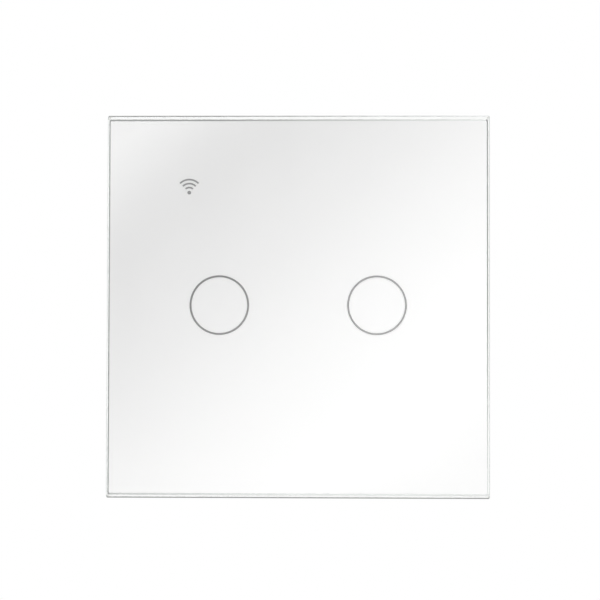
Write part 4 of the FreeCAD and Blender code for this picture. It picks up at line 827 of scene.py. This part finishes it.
board_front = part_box("touch_board")[0].y
lamp_low, lamp_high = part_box("status_led")
keys = [(low + high) / 2 for low, high in (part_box(f"touch_ring_{side}") for side in sides)]
row = [chip_low.x + 1.2 * mm + 2.5 * mm * i for i in range(4)]
resistor_places = [(x, chip_high.z + 1.6 * mm) for x in row]
resistor_places += [(lamp_high.x + 2.6 * mm, (lamp_low.z + lamp_high.z) / 2)]
resistor_places += [(key.x - 1.3 * mm, key.z - 5.5 * mm) for key in keys]
resistor_places += [(x * mm, -14 * mm) for x in (-5.0, -2.0, 1.0)]
capacitor_places = [(x, chip_low.z - 1.7 * mm) for x in row]
capacitor_places += [(key.x + 1.5 * mm, key.z - 5.5 * mm) for key in keys]
capacitor_places += [(x * mm, -17 * mm) for x in (-3.5, 0.0)]
resistor = chip_part("resistor_model", 1.6 * mm, 0.8 * mm, 0.45 * mm, resistor_black)
capacitor = chip_part("capacitor_model", 1.6 * mm, 0.8 * mm, 0.8 * mm, capacitor_tan)
copies(resistor, "chip_resistor", [(x, board_front, z) for x, z in resistor_places],
       "wall_unit")
copies(capacitor, "chip_capacitor", [(x, board_front, z) for x, z in capacitor_places],
       "wall_unit")

# %% Lands under the springs and solder at the header pins
land_thickness = 0.04 * mm
land_radius, land_stroke = 4.3 * mm, 1.4 * mm
for side, key in zip(sides, keys):
    place = (key.x, board_front - land_thickness / 2, key.z)
    land = flat_ring(f"spring_land_{side}", land_radius, land_stroke, 48, place)
    apply_modifier(land, "SOLIDIFY", thickness=land_thickness, offset=0)
    finish(land, "wall_unit", "tinned_brass", gold_land)

header_low, header_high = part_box("board_header")
pin_spacing = 2.54 * mm
let_go()
bpy.ops.mesh.primitive_cone_add(vertices=20, radius1=0.85 * mm, radius2=0.42 * mm, depth=0.7 * mm,
                                rotation=upright, location=(0, -0.35 * mm, 0))
drop = start("solder_model")
pick(drop, lambda e: all(v.co.y < -0.65 * mm for v in e.verts), "EDGE")
bpy.ops.mesh.bevel(offset=0.15 * mm, segments=3, affect="EDGES")
surfaced(drop, solder_tin, smooth=60)
header = (header_low + header_high) / 2
pins = [(header.x + pin_spacing * (i - 2.5), board_front, header.z) for i in range(6)]
copies(drop, "solder_joint", pins, "wall_unit")

# %% [markdown]
# The radio board has a printed aerial at its upper edge, a track that folds to and fro so that a
# quarter of a wavelength fits into a few millimetres, and soldered lands down both sides.

# %% The printed aerial and the lands of the radio board
def strip(name, x_range, z_range, y, thickness):
    """A flat bar of track between two x and two z, in front of a board at y."""
    middle = (sum(x_range) / 2, y - thickness / 2, sum(z_range) / 2)
    let_go()
    bpy.ops.mesh.primitive_cube_add(size=1, location=middle,
                                    scale=(x_range[1] - x_range[0], thickness,
                                           z_range[1] - z_range[0]))
    return start(name)


radio_low, radio_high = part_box("radio_board")
can_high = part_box("radio_shield")[1]
track = 0.5 * mm
legs = 8
left = radio_low.x + 1.6 * mm
leg_step = (radio_high.x - 1.6 * mm - track - left) / (legs - 1)
foot, top = can_high.z + 0.8 * mm, radio_high.z - 0.7 * mm
bars = []
for leg in range(legs):
    x = left + leg_step * leg
    bars.append(strip("printed_aerial", (x, x + track), (foot, top), radio_low.y, land_thickness))
    if leg < legs - 1:
        z = top - track if leg % 2 else foot
        bars.append(strip("aerial_link", (x + track, x + leg_step), (z, z + track), radio_low.y,
                          land_thickness))
finish(joined(bars), "wall_unit", "tinned_brass", gold_land)
bars = []
land_width, land_height, land_step = 1.1 * mm, 0.9 * mm, 1.9 * mm
for edge in (radio_low.x, radio_high.x - land_width):
    for i in range(7):
        z = radio_low.z + 1.2 * mm + land_step * i
        bars.append(strip("radio_lands", (edge, edge + land_width), (z, z + land_height),
                          radio_low.y, 0.06 * mm))
finish(joined(bars), "wall_unit", "tinned_brass", solder_tin)

# %% [markdown]
# The terminal ways are numbered by pad printing on the green block, so that an installer can
# tell them apart. Each number is a text object with a hair of depth that becomes a mesh.

# %% Numbers on the terminal block
pad_print = cast("white_pad_print", "f2f2f0", "e6e6e3", 0.5, 0.55)
print_depth = 0.02 * mm
block_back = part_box("terminal_block")[1].y
for way in ways:
    low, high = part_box(f"terminal_screw_{way}")
    let_go()
    bpy.ops.object.text_add(rotation=(quarter, 0, math.radians(180)))
    number = bpy.context.object
    number.data.body = str(way)
    number.data.size = 2.6 * mm
    number.data.extrude = print_depth
    number.data.align_x = "CENTER"
    number.data.resolution_u = 4
    number.location = ((low.x + high.x) / 2, block_back + print_depth, high.z + 0.9 * mm)
    bpy.ops.object.convert(target="MESH")
    finish(start(f"way_number_{way}"), "wall_unit", "white_ink", pad_print)

# %% [markdown]
# The studio is white. The world shows as plain white to the camera, and to anything that mirrors
# or lets it through, but it throws only as much light as a soft tent would. The paper floor lies
# a hand below the switch, which hangs as it does on a wall, and it keeps the switch's shadow.

# %% What the camera may see in a mirror or through glass
def for_the_eye(material):
    """One for rays from the camera, straight, mirrored or through glass, and zero for others."""
    path = add(material, "ShaderNodeLightPath")
    straight = add(material, "ShaderNodeMath", {
        0: path.outputs["Is Camera Ray"], 1: path.outputs["Is Glossy Ray"]}, operation="MAXIMUM")
    whole = add(material, "ShaderNodeMath", {
        0: straight.outputs["Value"], 1: path.outputs["Is Transmission Ray"]}, operation="MAXIMUM")
    return whole.outputs["Value"]


white = (1, 1, 1, 1)

# %% Floor
floor_size = 2.4
let_go()
bpy.ops.mesh.primitive_plane_add(size=floor_size, location=(0, 0, -0.2))
floor = start("studio_floor")
paper = new_material("white_paper_floor")
# Without a place the noise runs over the floor once, so its waves are a tenth of a metre wide.
grain = add(paper, "ShaderNodeTexNoise", {"Scale": 25.0, "Detail": 3.0})
pale = add(paper, "ShaderNodeMix", {
    "Factor": grain.outputs["Fac"], colour_a: colour("e9e9e8"), colour_b: colour("efefee")},
    data_type="RGBA")
matt = add(paper, "ShaderNodeBsdfDiffuse", {"Color": pale.outputs[mixed]})
glow = add(paper, "ShaderNodeEmission", {"Color": white, "Strength": 0.4})
both = add(paper, "ShaderNodeAddShader", {0: matt.outputs["BSDF"], 1: glow.outputs["Emission"]})
seen = add(paper, "ShaderNodeMixShader", {
    0: for_the_eye(paper), 1: matt.outputs["BSDF"], 2: both.outputs["Shader"]})
show(paper, seen)
floor.data.materials.append(paper)
print("floor:", floor_size, "m square,", floor.name)

# %% World
world = bpy.data.worlds.new("white_tent")
bpy.context.scene.world = world
world.use_nodes = True
world.node_tree.nodes.clear()
tent = add(world, "ShaderNodeBackground", {"Color": white, "Strength": 0.68})
plain_white = add(world, "ShaderNodeBackground", {"Color": white, "Strength": 1.0})
chosen = add(world, "ShaderNodeMixShader", {
    0: for_the_eye(world), 1: tent.outputs["Background"], 2: plain_white.outputs["Background"]})
add(world, "ShaderNodeOutputWorld", {"Surface": chosen.outputs["Shader"]})
print("world:", world.name)

# %% [markdown]
# A large soft lamp stands at the lower right, a weaker one high on the left, and a third behind,
# which lights the housing. They are kept low enough that the white ink renders just under the
# white that it is written as.

# %% Lamps
def lamp(name, place, size, power, aim=(0, -0.01, 0)):
    """A square soft lamp that points at the switch."""
    data = bpy.data.lights.new(name, "AREA")
    data.shape = "SQUARE"
    data.size = size
    data.energy = power
    light = bpy.data.objects.new(name, data)
    bpy.context.scene.collection.objects.link(light)
    light.location = place
    light.rotation_euler = (Vector(aim) - Vector(place)).to_track_quat("-Z", "Y").to_euler()
    print(f"{name}: {size} m square, {power} W")


lamp("key_lamp", (0.55, -0.85, -0.15), size=0.5, power=3.2)
lamp("fill_lamp", (-0.6, -0.8, 0.7), size=0.5, power=2.1)
lamp("rear_lamp", (0.2, 0.9, 0.7), size=0.6, power=3.6)

# %% [markdown]
# Glass mirrors a few hundredths of what stands in front of it, and here that is a soft box
# behind the camera. Its cloth is brightest to the lower right, dims along a diagonal and picks up
# again in the far corner, which is the sheen that runs across the panel, and its rim fades away.
# The ground bevel leans away from the camera, so it mirrors four plain cards above, below and
# beside the switch. Only mirror rays see any of them, so they add nothing to the light itself.

# %% A card that only mirrors show
def mirrored_card(name, place, width, depth, turn, cloth):
    """A card that glows in mirrors, and that the camera, the lamps and matt faces don't meet."""
    let_go()
    bpy.ops.mesh.primitive_plane_add(size=1, location=place, rotation=turn)
    bpy.context.object.scale = (width, depth, 1)
    card = start(name)
    card.data.materials.append(cloth)
    for rays in ("camera", "diffuse", "transmission", "shadow"):
        setattr(card, f"visible_{rays}", False)
    print(f"{name}: {width} x {depth} m")


# %% The soft box with its diagonal fall
box_place = (-0.02, -0.72, 0.025)
fade_from, fade_to = 0.155, 0.215
stops = ((0.03, 0.5), (0.13, 0.15), (0.25, 0.15), (0.5, 0.6), (0.76, 0.97), (1.0, 0.84))
cloth = new_material("soft_box_cloth")
place = add(cloth, "ShaderNodeTexCoord").outputs["Object"]
axes = add(cloth, "ShaderNodeSeparateXYZ", {0: place})
fall = add(cloth, "ShaderNodeMath", {0: axes.outputs["Z"], 1: -1.1}, operation="MULTIPLY")
slant = add(cloth, "ShaderNodeMath", {
    0: axes.outputs["X"], 1: fall.outputs["Value"]}, operation="ADD")
along = add(cloth, "ShaderNodeMapRange", {
    "Value": slant.outputs["Value"], "From Min": -0.25, "From Max": 0.15})
ramp = add(cloth, "ShaderNodeValToRGB", {"Fac": along.outputs["Result"]})
ramp.color_ramp.interpolation = "CARDINAL"
for index, (where, grey) in enumerate(stops):
    stop = ramp.color_ramp.elements[index] if index < 2 else ramp.color_ramp.elements.new(where)
    stop.position = where
    stop.color = (grey, grey, grey, 1)
glow = add(cloth, "ShaderNodeEmission", {"Color": ramp.outputs["Color"], "Strength": 6.2})
middle = add(cloth, "ShaderNodeVectorMath", {0: place, 1: box_place}, operation="DISTANCE")
edge = add(cloth, "ShaderNodeMapRange", {
    "Value": middle.outputs["Value"], "From Min": fade_from, "From Max": fade_to},
    interpolation_type="SMOOTHSTEP")
clear = add(cloth, "ShaderNodeBsdfTransparent")
faded = add(cloth, "ShaderNodeMixShader", {
    0: edge.outputs["Result"], 1: glow.outputs["Emission"], 2: clear.outputs["BSDF"]})
show(cloth, faded)
mirrored_card("mirrored_soft_box", box_place, 2 * fade_to, 2 * fade_to, upright, cloth)

# %% The plain cards round the bevel
plain = new_material("plain_card")
show(plain, add(plain, "ShaderNodeEmission", {"Color": white, "Strength": 5.0}))
level, on_edge = (0, 0, 0), (0, quarter, 0)
mirrored_card("card_above", (0, -0.28, 0.47), 0.28, 0.09, level, plain)
mirrored_card("card_below", (0, -0.08, -0.19), 0.18, 0.035, level, plain)
mirrored_card("card_left", (-0.5, 0.08, 0), 0.28, 0.08, on_edge, plain)
mirrored_card("card_right", (0.5, 0.08, 0), 0.28, 0.08, on_edge, plain)

# %% [markdown]
# The camera stands half a metre away, a little below the middle and to the right, and is turned
# by a seventh of a degree, which is where the four corners of the glass put it. The lens makes
# the panel fill as much of the square frame as it does in the picture.

# %% Camera
azimuth, elevation, roll = math.radians(1.644), math.radians(-2.152), math.radians(0.137)
distance = 0.5
picture = 600
pixels_per_mm = 4.461
sensor = 36
aim = Vector((0.485, -10.6, 1.396)) * mm
away = Vector((math.sin(azimuth) * math.cos(elevation), -math.cos(azimuth) * math.cos(elevation),
               math.sin(elevation)))
camera_data = bpy.data.cameras.new("camera")
camera_data.sensor_width = sensor
camera_data.lens = sensor * distance * pixels_per_mm / (picture * mm)
camera = bpy.data.objects.new("camera", camera_data)
bpy.context.scene.collection.objects.link(camera)
camera.location = aim + away * distance
turn = (-away).to_track_quat("-Z", "Y").to_matrix().to_4x4() @ Matrix.Rotation(roll, 4, "Z")
camera.rotation_euler = turn.to_euler()
bpy.context.scene.camera = camera
bpy.context.scene.view_settings.view_transform = "Standard"
print("lens in mm:", round(camera_data.lens, 1))

# %% The end: nothing is left selected
let_go()
